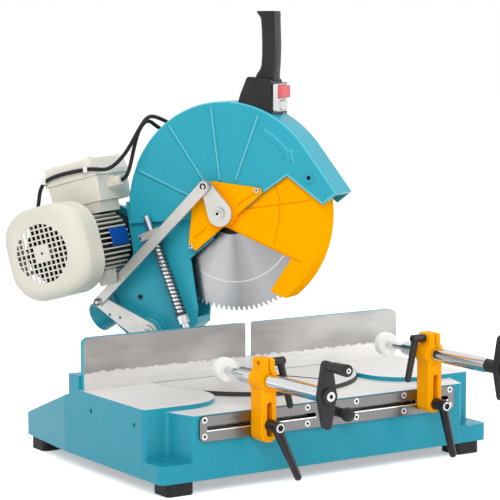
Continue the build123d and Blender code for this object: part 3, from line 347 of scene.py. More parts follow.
def metalFinish(name, colour, roughness, grain, depth=0.06, tint=0.06):
    # bare metal: fine lines drawn along one way, with slow changes of tone and gloss
    look = metalLook
    material, tree, shader, place = startMaterial(name, {"Metallic": 1.0})
    normal = roundedNormal(tree, look["edge"])
    lines = noiseAt(tree, place, *look["lines"], grain)
    halves = (mathOf(tree, "MULTIPLY", noise, 0.5) for noise in (lines, noiseAt(tree, place, *look["cloud"])))
    mixed = mathOf(tree, "ADD", *halves)
    tone = mixColour(tree, rangeOf(tree, mixed, *toneBand, 0.0, 1.0), shadeOf(colour, 1 - 2 * tint), colour)
    tree.links.new(tone, shader.inputs["Base Color"])
    limits = (roughness * share for share in look["gloss"])
    tree.links.new(rangeOf(tree, mixed, *glossBand, *limits), shader.inputs["Roughness"])
    tree.links.new(bumpOf(tree, lines, depth, look["lineHeight"], normal), shader.inputs["Normal"])
    return material


def plasticFinish(name, colour, roughness=0.4, grain=1400.0, depth=0.08, shade=0.15, gloss=0.3):
    # moulded plastic: spark-eroded grain, handled patches a little glossier
    look = plasticLook
    material, tree, shader, place = startMaterial(name, {"Specular IOR Level": gloss})
    normal = roundedNormal(tree, look["edge"])
    cloud = noiseAt(tree, place, *look["cloud"])
    pale = shadeOf(colour, 1 + 2 * shade, look["lift"])
    tone = mixColour(tree, rangeOf(tree, cloud, *toneBand, 0.0, look["cloudMost"]), colour, pale)
    paleEdges = mathOf(tree, "MULTIPLY", edgeMask(tree, normal), look["paleEdges"])
    tree.links.new(mixColour(tree, paleEdges, tone, pale), shader.inputs["Base Color"])
    limits = (roughness + step for step in look["glossSteps"])
    tree.links.new(rangeOf(tree, cloud, *glossBand, *limits), shader.inputs["Roughness"])
    sparks = noiseAt(tree, place, grain, look["grainDetail"])
    tree.links.new(bumpOf(tree, sparks, depth, look["grainHeight"], normal), shader.inputs["Normal"])
    return material


def facingMask(tree, place, way, low=0.9, soft=0.05):
    # 1 where the surface faces a way of the object's own, 0 elsewhere
    alike = vectorOf(tree, "DOT_PRODUCT", place.outputs["Normal"], way)["Value"]
    return rangeOf(tree, alike, low, low + soft, 0.0, 1.0)


def machinedOver(material, mask, bright, roughness, grain, depth=0.05, metallic=1.0):
    # bare milled faces on a painted casting: where the mask is 1 the paint gives way to cut metal
    look = milledLook
    tree, shader, place = insideOf(material)
    lines = noiseAt(tree, place, *look["lines"], grain)
    noises = (lines, noiseAt(tree, place, *look["cloud"]))
    mixed = mathOf(tree, "ADD", *(mathOf(tree, "MULTIPLY", *pair) for pair in zip(noises, look["shares"])))
    dull = mixColour(tree, look["dull"], bright, (0, 0, 0, 1))
    colourOver(tree, shader, mask, mixColour(tree, rangeOf(tree, mixed, *toneBand, 0.0, 1.0), dull, bright))
    limits = (roughness * share for share in look["gloss"])
    cutGloss = rangeOf(tree, mixed, *glossBand, *limits)
    gloss = mixNumber(tree, mask, underneath(shader, "Roughness"), cutGloss)
    tree.links.new(gloss, shader.inputs["Roughness"])
    tree.links.new(mathOf(tree, "MULTIPLY", mask, metallic), shader.inputs["Metallic"])
    grooves = mathOf(tree, "MULTIPLY", lines, mask)
    bump = bumpOf(tree, grooves, depth, look["lineHeight"], underneath(shader, "Normal"))
    tree.links.new(bump, shader.inputs["Normal"])
    shader.inputs["Coat Weight"].default_value = 0.0
    return material


tealColour = linearColour(41, 156, 176)
# paler teal for the edges: partly worn paint, partly a painted edge highlight
tealEdge = linearColour(120, 200, 214)
creamCoat = {"colour": linearColour(207, 204, 192), "edgeColour": linearColour(220, 218, 208),
             "roughness": 0.38, "peel": 0.06}
flatCoat = {"roughness": 0.5, "peel": 0.04, "gloss": 0.0, "coat": 0.0}
zinc = {"colour": linearColour(214, 214, 214), "roughness": 0.36, "grain": (60, 60, 900), "depth": 0.05}
finishes = {
    "teal": paintFinish("tealPaint", tealColour, tealEdge),
    "yellow": paintFinish("yellowPaint", linearColour(243, 159, 0), linearColour(252, 184, 30),
                          roughness=0.33, peel=0.04, gloss=0.05, coat=0.0),
    "flatYellow": paintFinish("guardYellow", linearColour(250, 165, 0), linearColour(255, 186, 26),
                              **flatCoat),
    "cream": paintFinish("creamPaint", **creamCoat),
    "box": paintFinish("boxCream", linearColour(219, 216, 204), linearColour(228, 226, 217),
                       roughness=0.38, peel=0.06),
    # paler teal for crests, edge beads and the arrow's upper slope: a painted highlight
    "tealPaintedHighlight": paintFinish("tealPaintedHighlight", linearColour(94, 188, 205), tealEdge),
    # deeper yellow for the guards' beads: painted shade along the creases
    "yellowPaintedCreaseShade": paintFinish("yellowPaintedCreaseShade", linearColour(230, 143, 0), linearColour(240, 158, 8),
                                **flatCoat),
    "steel": metalFinish("zincSteel", **zinc),
    "polished": metalFinish("chromePlate", linearColour(226, 228, 232), roughness=0.09, grain=(40, 400, 40),
                            depth=0.01),
    # spring wire toned dark: painted shade between its lit turns
    "wire": metalFinish("springWirePaintedShade", linearColour(116, 116, 118), roughness=0.28, grain=(60, 60, 60),
                        depth=0.01),
    "black": plasticFinish("blackPlastic", linearColour(28, 27, 30), roughness=0.42),
    "grip": plasticFinish("gripPlastic", linearColour(17, 16, 18), roughness=0.27, grain=1000.0, depth=0.04,
                          gloss=0.38),
    "nylon": plasticFinish("whiteNylon", linearColour(226, 226, 222), roughness=0.38, grain=500.0, depth=0.03,
                           shade=0.01),
    "grey": plasticFinish("greyPlastic", linearColour(206, 207, 204), roughness=0.3, shade=0.03),
    "red": plasticFinish("redPlastic", linearColour(206, 92, 98), roughness=0.25, shade=0.08),
    "rubber": plasticFinish("blackRubber", linearColour(24, 24, 25), roughness=0.62, grain=700.0, depth=0.2),
    "leadSkin": plasticFinish("leadSkin", linearColour(24, 22, 25), roughness=0.5, grain=800.0, depth=0.05),
    "satin": metalFinish("satinSteel", linearColour(218, 216, 212), roughness=0.52, grain=(90, 90, 500),
                         depth=0.03, tint=0.03),
    # dark oxide: real on the clips, painted shade on the hub and in the screws' sockets
    "socket": metalFinish("blackOxideAndPaintedShade", linearColour(46, 46, 48), roughness=0.4, grain=(200, 200, 200)),
    "bluePlate": paintFinish("bluePlate", linearColour(12, 70, 158), linearColour(90, 140, 210),
                             roughness=0.35, peel=0.02),
}

# the base's milled tops lie between two heights, each given with its soft limit, in the model's metres
# the base's teal is deeper than the head's: painted shade on the same paint
baseTops = {"shadedTeal": (28, 142, 163), "above": (0.1262, 0.1266), "below": (0.136, 0.1365),
            "bright": (240, 239, 238), "roughness": 0.52, "grain": (30, 700, 30), "metallic": 0.6}


def castingWithTops():
    # base: milled table tops, teal elsewhere
    look = baseTops
    material = paintFinish("tealBase", linearColour(*look["shadedTeal"]), tealEdge)
    tree, _, place = insideOf(material)
    height = coordinates(tree, place)[2]
    above = rangeOf(tree, height, *look["above"], 0.0, 1.0)
    below = rangeOf(tree, height, *look["below"], 1.0, 0.0)
    level = facingMask(tree, place, (0, 0, 1))
    mask = mathOf(tree, "MULTIPLY", level, mathOf(tree, "MULTIPLY", above, below))
    return machinedOver(material, mask, linearColour(*look["bright"]), look["roughness"], look["grain"],
                        metallic=look["metallic"])


# the fence's face is painted bright up to a ragged line and darker in patches above it: a painted reflection
# of the table
fenceLook = {"line": (0.163, 0.1652), "ragged": 0.0026, "raggedNoise": (120.0, 4.0), "foot": (226, 225, 222),
             "patchNoise": (7.0, 2.0, (1, 1, 1.8)), "patchBand": (0.36, 0.66),
             "patches": [(156, 154, 153), (187, 185, 183)],
             "roughness": 0.42, "grain": (24, 24, 240), "depth": 0.012}


def fenceFace():
    # fence: milled front with a painted reflection, teal back and edges
    look = fenceLook
    material = paintFinish("tealFence", tealColour, tealEdge)
    tree, _, place = insideOf(material)
    noise = noiseAt(tree, place, *look["raggedNoise"])
    ragged = rangeOf(tree, noise, *glossBand, -look["ragged"], look["ragged"])
    height = mathOf(tree, "ADD", coordinates(tree, place)[2], ragged)
    # painted reflection: the bright foot below the line, darker patches above
    aboveReflectionLine = rangeOf(tree, height, *look["line"], 0.0, 1.0)
    patches = rangeOf(tree, noiseAt(tree, place, *look["patchNoise"]), *look["patchBand"], 0.0, 1.0)
    upperReflection = mixColour(tree, patches, *(linearColour(*tone) for tone in look["patches"]))
    tone = mixColour(tree, aboveReflectionLine, linearColour(*look["foot"]), upperReflection)
    front = facingMask(tree, place, (0, -1, 0))
    return machinedOver(material, front, tone, look["roughness"], look["grain"], look["depth"])


# the rim's near-black tone is painted shade on the turntable's side
turntableLook = {"rim": (62, 60, 60), "rimEdge": (130, 128, 126), "rimRoughness": 0.4,
                 "bright": (234, 234, 233), "roughness": 0.5, "grain": (420, 420, 420), "metallic": 0.65}


def turntableTop():
    # turntable: milled top, rim painted near black as painted shade
    look = turntableLook
    rim, rimEdge = linearColour(*look["rim"]), linearColour(*look["rimEdge"])
    material = paintFinish("rimPaintedShade", rim, rimEdge, look["rimRoughness"])
    tree, _, place = insideOf(material)
    level = facingMask(tree, place, (0, 0, 1))
    return machinedOver(material, level, linearColour(*look["bright"]), look["roughness"], look["grain"],
                        metallic=look["metallic"])


def offAxis(tree, place, centre):
    # the way from the head's left-right line through centre to the surface, square to that line
    offset = vectorOf(tree, "SUBTRACT", place.outputs["Object"], tuple(centre))[0]
    along = vectorOf(tree, "PROJECT", offset, tuple(leftWay))[0]
    return vectorOf(tree, "SUBTRACT", offset, along)[0]


# painted shade between the motor's fins, by reach from its axis in metres
finGapShade = {"reach": (0.0612, 0.0668), "colour": (44, 42, 38)}


def finnedFrame():
    # motor frame: cream fins, with dark floors between them, painted shade
    material = paintFinish("creamFrame", **creamCoat)
    tree, shader, place = insideOf(material)
    reach = vectorOf(tree, "LENGTH", offAxis(tree, place, motorPoint(0, 0, 0)))["Value"]
    gapShade = rangeOf(tree, reach, *finGapShade["reach"], 1.0, 0.0)
    colourOver(tree, shader, gapShade, linearColour(*finGapShade["colour"]))
    return material


# the blade's painted sheen and shade by share of a turn about its axis, from its front; rings and line by
# reach in metres
bladeLook = {"paintedSheenAndShade": [(0.0, 136), (0.11, 156), (0.18, 171), (0.233, 150),
                       (0.27, 187), (0.31, 191), (0.36, 153), (0.42, 102)],
             "rings": (700.0, 3.0), "dull": 0.1, "roughness": (0.28, 0.36), "ringBump": (0.015, 0.0003),
             "line": 0.124, "lineHalf": (0.0005, 0.0013), "lineShare": 0.6, "lineColour": (226, 226, 228)}


def bladeSteel():
    # blade: a painted sheen and shade that fans out from the axis, fine rings of grinding and one bright line
    # at a fixed reach
    look = bladeLook
    material, tree, shader, place = startMaterial("groundBlade", {"Metallic": 1.0})
    toHub = offAxis(tree, place, headPoint(*bladeAxis, 0.0))
    reach = vectorOf(tree, "LENGTH", toHub)["Value"]
    scale, detail = look["rings"]
    noise = addNode(tree, "ShaderNodeTexNoise", {"noise_dimensions": "1D"}, W=reach, Scale=scale,
                    Detail=detail)
    rings = noise.outputs["Fac"]
    rear, up = (vectorOf(tree, "DOT_PRODUCT", toHub, tuple(way))["Value"] for way in (rearWay, upWay))
    turn = mathOf(tree, "DIVIDE", mathOf(tree, "ARCTAN2", up, rear), 2 * math.pi)
    # the ramp paints sheen and shade into the colour by angle about the axis
    fan = addNode(tree, "ShaderNodeValToRGB", Fac=mathOf(tree, "ADD", turn, 0.5))
    stops = [(at + half, tone) for half in (0.0, 0.5) for at, tone in look["paintedSheenAndShade"]]
    stops.append((1.0, look["paintedSheenAndShade"][0][1]))
    for index, (position, tone) in enumerate(stops):
        stop = fan.color_ramp.elements[index] if index < 2 else fan.color_ramp.elements.new(position)
        stop.position, stop.color = position, linearColour(tone, tone, tone + 2)
    dull = mixColour(tree, look["dull"], fan.outputs[0], (0, 0, 0, 1))
    tone = mixColour(tree, rangeOf(tree, rings, *glossBand, 0.0, 1.0), dull, fan.outputs[0])
    fromLine = mathOf(tree, "ABSOLUTE", mathOf(tree, "SUBTRACT", reach, look["line"]))
    line = rangeOf(tree, fromLine, *look["lineHalf"], look["lineShare"], 0.0)
    lined = mixColour(tree, line, tone, linearColour(*look["lineColour"]))
    tree.links.new(lined, shader.inputs["Base Color"])
    tree.links.new(rangeOf(tree, rings, *glossBand, *look["roughness"]), shader.inputs["Roughness"])
    tree.links.new(bumpOf(tree, rings, *look["ringBump"]), shader.inputs["Normal"])
    return material


# the rail's slots, and the bright line along the foot of each, a painted highlight of its edge, in the
# model's metres
railLook = {"steel": (126, 124, 123), "roughness": 0.24, "grain": (30, 900, 1500), "depth": 0.04,
            "spans": [(-0.249, -0.038), (0.028, 0.239)], "edge": (0.1008, 0.1026), "soft": 0.0003,
            "bright": (242, 241, 238)}


def bandOf(tree, value, low, high):
    # 1 from low to high, 0 outside
    soft = railLook["soft"]
    return mathOf(tree, "MULTIPLY", rangeOf(tree, value, low - soft, low, 0.0, 1.0),
                  rangeOf(tree, value, high, high + soft, 1.0, 0.0))


def railSteel():
    # clamp rail: ground steel, with a painted highlight along the foot of each slot
    look = railLook
    steel = linearColour(*look["steel"])
    material = metalFinish("groundSteel", steel, look["roughness"], look["grain"], look["depth"])
    tree, shader, place = insideOf(material)
    parts = coordinates(tree, place)
    along = mathOf(tree, "MAXIMUM", *(bandOf(tree, parts[0], *span) for span in look["spans"]))
    # painted highlight along the foot of each slot
    edge = mathOf(tree, "MULTIPLY", along, bandOf(tree, parts[2], *look["edge"]))
    colourOver(tree, shader, edge, linearColour(*look["bright"]))
    return material


# the rail screws' sockets, by how far back they lie from the heads' faces, in the model's metres; their dark
# colour is painted shade
railSockets = {"back": (-0.2415, -0.2409), "colour": (30, 30, 32)}


def railScrewSteel():
    # rail screws: bright heads with sockets painted dark, painted shade in the recess
    material = metalFinish("railScrewSteel", **zinc)
    tree, shader, place = insideOf(material)
    deep = rangeOf(tree, coordinates(tree, place)[1], *railSockets["back"], 0.0, 1.0)
    colourOver(tree, shader, deep, linearColour(*railSockets["colour"]))
    return material


finishes.update(base=castingWithTops(), fence=fenceFace(), turntable=turntableTop(), fins=finnedFrame(),
                blade=bladeSteel(), rail=railSteel(), railScrews=railScrewSteel())
print("finishes made:", len(finishes))

finishOf = {
    "base": ["base_casting"],
    "fence": ["fence_left", "fence_right"],
    "turntable": ["turntable"],
    "teal": ["arm_bracket", "swing_arm", "upper_guard", "belt_cover"],
    "yellow": ["clamp_bracket_left", "clamp_bracket_right"],
    "flatYellow": ["arbor_cover", "lower_guard"],
    "cream": ["fan_cowl"],
    "box": ["terminal_box", "terminal_lid"],
    "fins": ["motor_frame"],
    "railScrews": ["rail_screws"],
    "steel": ["swivel_bolt", "pivot_shaft", "bearings", "arbor", "arbor_pulley", "rotor_shaft",
              "motor_pulley", "slide_bolt_left", "slide_bolt_right"],
    # outer flange and arbor bolt dark: painted shade over the hub
    "socket": ["outer_flange", "arbor_bolt"],
    "satin": ["link_anchor", "spring_lug", "guard_lever", "link_bar"],
    "polished": ["spring_rod", "return_spring", "clamp_tube_left", "clamp_tube_right",
                 "push_rod_left", "push_rod_right"],
    "rail": ["clamp_rail"],
    "blade": ["saw_blade"],
    "grip": ["handle", "lock_lever_left", "lock_lever_right", "tube_lever_left", "tube_lever_right"],
    "black": ["lock_knob", "cooling_fan", "crank_left", "crank_right"],
    "nylon": ["lead_clips", "clamp_pad_left", "clamp_pad_right"],
    "grey": ["switch_housing", "start_button"],
    "red": ["stop_button"],
    "rubber": ["rubber_feet", "drive_belt"],
    "leadSkin": ["switch_lead", "brake_lead"],
}
for finish, names in finishOf.items():
    for name in names:
        nodes[name].data.materials.clear()
        nodes[name].data.materials.append(finishes[finish])
print("finishes set on the CAD nodes")

# camera at the photograph's view
view = {"eye": (-1.8995, -2.8713, 0.7298), "azimuth": -33.37, "rise": 6.25, "lens": 143.59, "sensor": 36.0,
        "far": 50.0}


def addCamera():
    azimuth, rise = math.radians(view["azimuth"]), math.radians(view["rise"])
    right = Vector((math.cos(azimuth), math.sin(azimuth), 0))
    back = Vector((math.sin(azimuth) * math.cos(rise), -math.cos(azimuth) * math.cos(rise), math.sin(rise)))
    up = back.cross(right)
    data = bpy.data.cameras.new("photoCamera")
    data.lens, data.sensor_width, data.clip_end = view["lens"], view["sensor"], view["far"]
    camera = bpy.data.objects.new("photoCamera", data)
    place = Matrix((right, up, back)).transposed().to_4x4()
    place.translation = Vector(view["eye"])
    camera.matrix_world = place
    bpy.context.scene.collection.objects.link(camera)
    bpy.context.scene.camera = camera


addCamera()
print("camera set")

# the two leads, on the routes of their CAD tubes; the ends at the motor are counted along its tilted box
leads = {
    "brakeLead": {
        "node": "brake_lead", "length": 0.672,
        "atMotor": [(73.3, 0, 158), (73.3, 0, 142), (76, 13, 126), (79, 34, 113), (74, 60, 105)],
        "route": [(365.6, 427.5, 100.5), (364.5, 447, 98.8), (355.6, 464.5, 98), (335.1, 474.2, 98),
                  (304.1, 482.9, 98), (268.1, 489.6, 98), (249.9, 491, 98.2), (235.3, 489.6, 95),
                  (224.3, 493, 88), (214, 505.1, 76), (207, 521, 62), (199, 541, 52), (191, 562, 43),
                  (186, 583, 22), (178, 578, -4), (167, 563, -36), (149, 551, -50), (122, 556, -51),
                  (103.1, 580.3, -50), (73.8, 590.4, -50), (30, 593.5, -49), (-7.9, 593.5, -49)]},
    "switchLead": {
        "node": "switch_lead", "length": 0.377,
        "atMotor": [(-79, 98, 46), (-92.5, 98, 46)],
        "route": [(211.8, 486.5, 46), (207.5, 504, 45), (204.5, 522, 42.5), (201.8, 541, 38),
                  (199.5, 560, 29), (195, 576, 9), (187.5, 560, -16), (174, 545, -42), (131.7, 546.9, -43),
                  (97.4, 567.5, -43), (59.2, 579.2, -43), (24, 581, -43), (-7.9, 581, -43)]},
}
leadLook = {"diameter": 0.007, "roundSteps": 5, "lengthSteps": 10}


def addLead(name):
    # a smooth spline with the route's points as its control points, and a round section
    spec = leads[name]
    points = np.array([motorPoint(*p) for p in spec["atMotor"]] + [headPoint(*p) for p in spec["route"]])
    curve = bpy.data.curves.new(name, "CURVE")
    curve.dimensions = "3D"
    curve.bevel_depth, curve.bevel_resolution = leadLook["diameter"] / 2, leadLook["roundSteps"]
    curve.use_fill_caps = True
    curve.resolution_u = leadLook["lengthSteps"]
    line = curve.splines.new("NURBS")
    line.points.add(len(points) - 1)
    line.points.foreach_set("co", np.column_stack([points, np.ones(len(points))]).ravel())
    line.order_u, line.use_endpoint_u = 3, True
    piece = bpy.data.objects.new(name, curve)
    bpy.context.scene.collection.objects.link(piece)
    curve.materials.append(finishes["leadSkin"])
    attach(piece, "head")
    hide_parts(spec["node"])


for name in leads:
    addLead(name)
print("leads laid")

# return spring: wire on a helix about the rod, its end turns closed up
spring = {"foot": (96.0, 200.0), "top": (168.4, 374.9), "left": 40.0, "from": 36.2, "endGap": 6.7,
          "meanRadius": 9.25, "wire": 1.5, "turns": 19, "endTurns": 1.25, "endSlack": 1.02, "keep": 0.70,
          "turnPoints": 24, "sides": 8}


def addSpring():
    # the angle goes round evenly, and the rise is slower over the end turns
    foot, top = (headPoint(*spring[end], spring["left"]) for end in ("foot", "top"))
    length = np.linalg.norm(top - foot)
    along = (top - foot) / length
    across = np.cross(along, leftWay)
    low = spring["from"] + spring["wire"]
    high = length * 1000 - spring["endGap"] - spring["wire"]
    wholeTurns = spring["turns"] + 2 * spring["endTurns"]
    turn = np.linspace(0, wholeTurns, int(wholeTurns * spring["turnPoints"]) + 1)
    closed = 2 * spring["wire"] * spring["endTurns"] * spring["endSlack"]
    rise = np.interp(turn, [0, spring["endTurns"], wholeTurns - spring["endTurns"], wholeTurns],
                     [low, low + closed, high - closed, high])
    angle = 2 * math.pi * turn
    ring = np.cos(angle)[:, None] * across + np.sin(angle)[:, None] * leftWay
    path = foot + rise[:, None] / 1000 * along + spring["meanRadius"] / 1000 * ring
    wire = tubeAlong(path, spring["wire"] / 1000, spring["sides"])
    piece = newPiece("returnSpring", [wire], [finishes["wire"]], "rod",
                     replaced=["return_spring"])
    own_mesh(piece)


addSpring()
print("spring wound")

# screw heads at (u, v, w) on the head, facing away from the blade; sizes are radius, height and socket in mm
headScrews = {
    "coverScrews": {"body": "head", "at": [(93, 357, 36.5), (-35, 459, 36.5)], "size": (4.6, 2.2, 1.7)},
    "armScrew": {"body": "head", "at": [(203.5, 259.2, 22)], "size": (4.2, 2.6, 1.6), "dark": True},
    "leverScrews": {"body": "guard", "at": [(30.7, 417.7, 55)], "size": (6.4, 2.4, 2.6)},
    "pivotScrew": {"body": "table", "at": [(174, 199, 55.2)], "size": (8.0, 4.0, 3.2)},
    "anchorScrew": {"body": "table", "at": [(271, 250, 61.5)], "size": (4.0, 1.2, 1.8)},
    "beltScrews": {"body": "head", "size": (4.6, 2.4, 1.7),
                   "at": [(-8, 427.7, -86), (167.5, 425.7, -86), (146.5, 344.3, -86), (327.6, 341, -86)]},
    "lugScrew": {"body": "head", "at": [(185.3, 366.8, 51)], "size": (3.6, 1.6, 1.6)},
}
lidScrews = {"a": (-54.0, 22.0), "w": (-11.0, 85.0), "b": 148.0, "size": (3.6, 1.6, 1.4), "deep": 1.0}

# the clamps' screws: (x, z) of the tube, its front end, the collar's length and the side of the tube lever,
# then what both clamps share, with each screw's size and its socket's depth
clampScrews = {
    "left": {"x": -151.5, "z": 177.5, "front": -438.0, "collar": 5.0, "side": 1.0},
    "right": {"x": 185.3, "z": 190.2, "front": -430.0, "collar": 28.0, "side": -1.0},
}
clampSizes = {"plate": 12.0, "hub": 4.0, "grip": 50.0, "reach": 46.0, "leverEnd": -323.0, "railMid": 106.0,
              "pinY": -276.8, "pinRise": 27.0, "pinOut": 38.5,
              "hubScrew": (7.8, 2.2, 3.2, 1.4), "gripScrew": (4.2, 1.0, 1.8, 0.9),
              "lockScrew": (7.6, 1.6, 4.8, 1.5), "pinScrew": (5.0, 1.2, 2.2, 1.0)}


def addScrews():
    # bright heads get dark sockets: painted shade in the recess
    bright, dark = ([finishes[head], finishes["socket"]] for head in ("steel", "black"))
    for name, spec in headScrews.items():
        heads = [socketHead(headPoint(*place), np.sign(place[2]) * leftWay, *spec["size"])
                 for place in spec["at"]]
        newPiece(name, heads, dark if spec.get("dark") else bright, spec["body"])
    heads = [socketHead(motorPoint(a, lidScrews["b"], w), motorUp, *lidScrews["size"], lidScrews["deep"])
             for a in lidScrews["a"] for w in lidScrews["w"]]
    newPiece("lidScrews", heads, bright, "head")
    toFront, sizes = (0, -1, 0), clampSizes
    for which, spec in clampScrews.items():
        x, z = spec["x"], spec["z"]
        plate = spec["front"] - spec["collar"] - sizes["plate"]
        hub = basePoint(x, plate - sizes["hub"], z)
        grip = basePoint(x, plate - sizes["grip"], z + sizes["reach"])
        heads = [socketHead(hub, toFront, *sizes["hubScrew"]), socketHead(grip, toFront, *sizes["gripScrew"])]
        newPiece("crankScrews_" + which, heads, bright, "crank_" + which)
        lock = basePoint(x, sizes["leverEnd"], sizes["railMid"])
        heads = [socketHead(lock, toFront, *sizes["lockScrew"])]
        newPiece("lockScrew_" + which, heads, bright, "lock_" + which)
        pinEnd = basePoint(x + spec["side"] * sizes["pinOut"], sizes["pinY"], z + sizes["pinRise"])
        heads = [socketHead(pinEnd, (spec["side"], 0, 0), *sizes["pinScrew"])]
        newPiece("leverScrew_" + which, heads, dark, "tube_lever_" + which)


addScrews()
print("screws set")

# raised arrow on the guard, pointing the way the blade turns
guardArrow = {"reach": 160.0, "half": 6.2, "headHalf": 13.5, "from": 117.0, "neck": 138.0, "tip": 147.0,
              "left": (29.8, 31.4), "inset": 1.5, "steps": 12}


def addArrow():
    # the arrow lies on a circle about the blade: angle runs along it and distance from the circle across it,
    # once on the guard's face and once a little smaller at its top; the slope away from the blade is painted
    # paler, a painted highlight
    spec = guardArrow
    loops = []
    for left, inset in zip(spec["left"], (0.0, spec["inset"])):
        turnInset = math.degrees(inset / spec["reach"])
        steps = np.linspace(spec["from"] + turnInset, spec["neck"] + turnInset, spec["steps"])
        half, headHalf = spec["half"] - inset, spec["headHalf"] - 2 * inset
        angles = np.concatenate([steps, [steps[-1], spec["tip"] - 2 * turnInset, steps[-1]], steps[::-1]])
        even = half * np.ones(len(steps))
        reach = spec["reach"] + np.concatenate([even, [headHalf, 0.0, -headHalf], -even])
        turn = np.radians(angles)
        u, v = bladeAxis[0] + reach * np.cos(turn), bladeAxis[1] + reach * np.sin(turn)
        loops.append(headPoint(u, v, left))
    points, faces = gridSurface(np.stack(loops))
    outerSlopes = spec["steps"] + 1
    paints = [1] * outerSlopes + [0] * (len(faces) - outerSlopes)
    newPiece("guardArrow", [(points, faces, paints)], [finishes["teal"], finishes["tealPaintedHighlight"]], "head",
             smoothAngle=25)


addArrow()

# the guard's ribs as (degrees, inner reach, outer reach) about the blade, and its rounded rim,
# which runs straight on into the nose
guardRibs = [(22.0, 72.0, 180.0), (54.0, 66.0, 183.0), (82.0, 58.0, 183.0), (111.2, 62.0, 182.0)]
guardRim = {"reach": 191.1, "from": 24.0, "nose": 142.2, "noseLength": 98.0, "points": 40}


def polarPoint(reach, degrees):
    # (u, v) at a reach and an angle about the blade's axis
    turn = math.radians(degrees)
    return np.array(bladeAxis) + reach * np.array([math.cos(turn), math.sin(turn)])


def rimLine():
    # an arc about the blade, then a straight run square to its last radius
    turns = np.linspace(guardRim["from"], guardRim["nose"], guardRim["points"])
    arc = [polarPoint(guardRim["reach"], turn) for turn in turns]
    along = polarPoint(guardRim["noseLength"], guardRim["nose"] + 90) - np.array(bladeAxis)
    return arc + [arc[-1] + along]


# pressed beads and edge lips on the guards: corners in (u, v) mm, the face's w and the bead's radius
beads = {
    # rib crests, rim crest and lip take the paler teal: a painted highlight
    "ribCrests": {"body": "head", "finish": "tealPaintedHighlight", "slot": "teal_casting", "left": 32.3, "radius": 1.5,
                  "lines": [[polarPoint(inner, turn), polarPoint(outer, turn)]
                            for turn, inner, outer in guardRibs]},
    "rimCrest": {"body": "head", "finish": "tealPaintedHighlight", "slot": "teal_casting", "left": 28.5, "radius": 1.3,
                 "lines": [rimLine()]},
    "guardLip": {"body": "head", "finish": "tealPaintedHighlight", "slot": "teal_casting", "left": 29.8, "radius": 1.7,
                 "lines": [[(-45, 457.6), (-89.3, 487.6), (-156, 440.8), (-178.5, 458.4)]]},
    # the yellow beads take the deeper yellow: painted shade along the creases
    "lowerGuardBeads": {"body": "guard", "finish": "yellowPaintedCreaseShade", "slot": "yellow_paint", "left": 22.7,
                        "radius": 1.4,
                        "lines": [[(22, 390.6), (-94, 345.4), (-114, 338.6)], [(-2.5, 424.5), (-130, 444.5)],
                                  [(-62, 474), (-71, 448), (-72, 410), (-61.9, 366.7)]]},
    "coverBeads": {"body": "head", "finish": "yellowPaintedCreaseShade", "slot": "yellow_paint", "left": 33.6,
                   "radius": 1.5,
                   "lines": [[(86.9, 371.6), (64, 390.4)], [(4, 432.4), (-31.2, 455.4)]]},
}
beadShape = {"spacing": 4.0, "rounds": 2, "endShare": 0.4, "sides": 10, "smoothAngle": 60}


def softPath(corners):
    # each side is divided into short steps, then the corners between steps are cut, over and over,
    # at a quarter and three quarters of each step
    corners = np.asarray(corners, float)
    runs = []
    for a, b in zip(corners[:-1], corners[1:]):
        count = int(np.linalg.norm(b - a) / beadShape["spacing"]) + 2
        runs.append(np.linspace(a, b, count)[:-1])
    path = np.concatenate(runs + [corners[-1:]])
    for _ in range(beadShape["rounds"]):
        inner = np.stack([0.75 * path[:-1] + 0.25 * path[1:], 0.25 * path[:-1] + 0.75 * path[1:]], axis=1)
        path = np.concatenate([path[:1], inner.reshape(-1, 2), path[-1:]])
    return path


def addBeads():
    # a round bead along each line, sunk by half in its face and drawn in at both ends
    for name, spec in beads.items():
        tubes = []
        for corners in spec["lines"]:
            path = softPath(corners)
            swell = np.ones(len(path))
            swell[[0, -1]] = beadShape["endShare"]
            line = headPoint(path[:, 0], path[:, 1], spec["left"])
            tubes.append(tubeAlong(line, swell * spec["radius"] / 1000, beadShape["sides"]))
        newPiece(name, tubes, [finishes[spec["finish"]]], spec["body"],
                 beadShape["smoothAngle"])


addBeads()
print("arrow and beads set")

# spring clips round the link's pins: (u, v, w) of the pin's end, mean and wire radius, degrees spanned
pinClips = {
    "leverClip": {"body": "guard", "at": (57.0, 464.0, 60.9), "ring": 4.6, "wire": 1.3, "from": 300,
                  "span": 300},
    "anchorClip": {"body": "table", "at": (271.0, 250.0, 61.9), "ring": 5.2, "wire": 1.2, "from": 200,
                   "span": 320},
}
clipShape = {"points": 30, "sides": 8}


def addClips():
    # each clip is most of a circle about its pin, with a round wire
    for name, spec in pinClips.items():
        turn = np.radians(spec["from"] + np.linspace(0, spec["span"], clipShape["points"]))
        u, v, w = spec["at"]
        path = headPoint(u + spec["ring"] * np.cos(turn), v + spec["ring"] * np.sin(turn), w)
        wire = tubeAlong(path, spec["wire"] / 1000, clipShape["sides"])
        newPiece(name, [wire], [finishes["socket"]], spec["body"])


addClips()
print("pin clips set")

# moulded sleeve over the handle's grip: height, middle to the rear, half depth and half width in mm
gripSleeve = {
    "stations": [(651.0, -38.2, 19.2, 16.4), (655.0, -38.6, 18.6, 16.3), (658.5, -39.6, 17.7, 16.1),
                 (662.0, -41.2, 16.2, 16.0), (666.0, -42.8, 15.1, 15.8), (672.5, -44.3, 14.1, 15.6),
                 (692.0, -45.4, 13.9, 15.6), (710.0, -45.5, 14.0, 15.7), (731.0, -44.9, 13.9, 15.7),
                 (752.0, -43.7, 14.5, 15.9), (755.5, -42.7, 15.6, 16.0), (759.0, -41.2, 17.2, 16.1),
                 (762.0, -39.9, 18.4, 16.1), (764.2, -39.5, 18.4, 16.1), (765.0, -39.6, 17.4, 15.2)],
    "power": 4.0, "rows": 70, "columns": 48, "smoothAngle": 50}


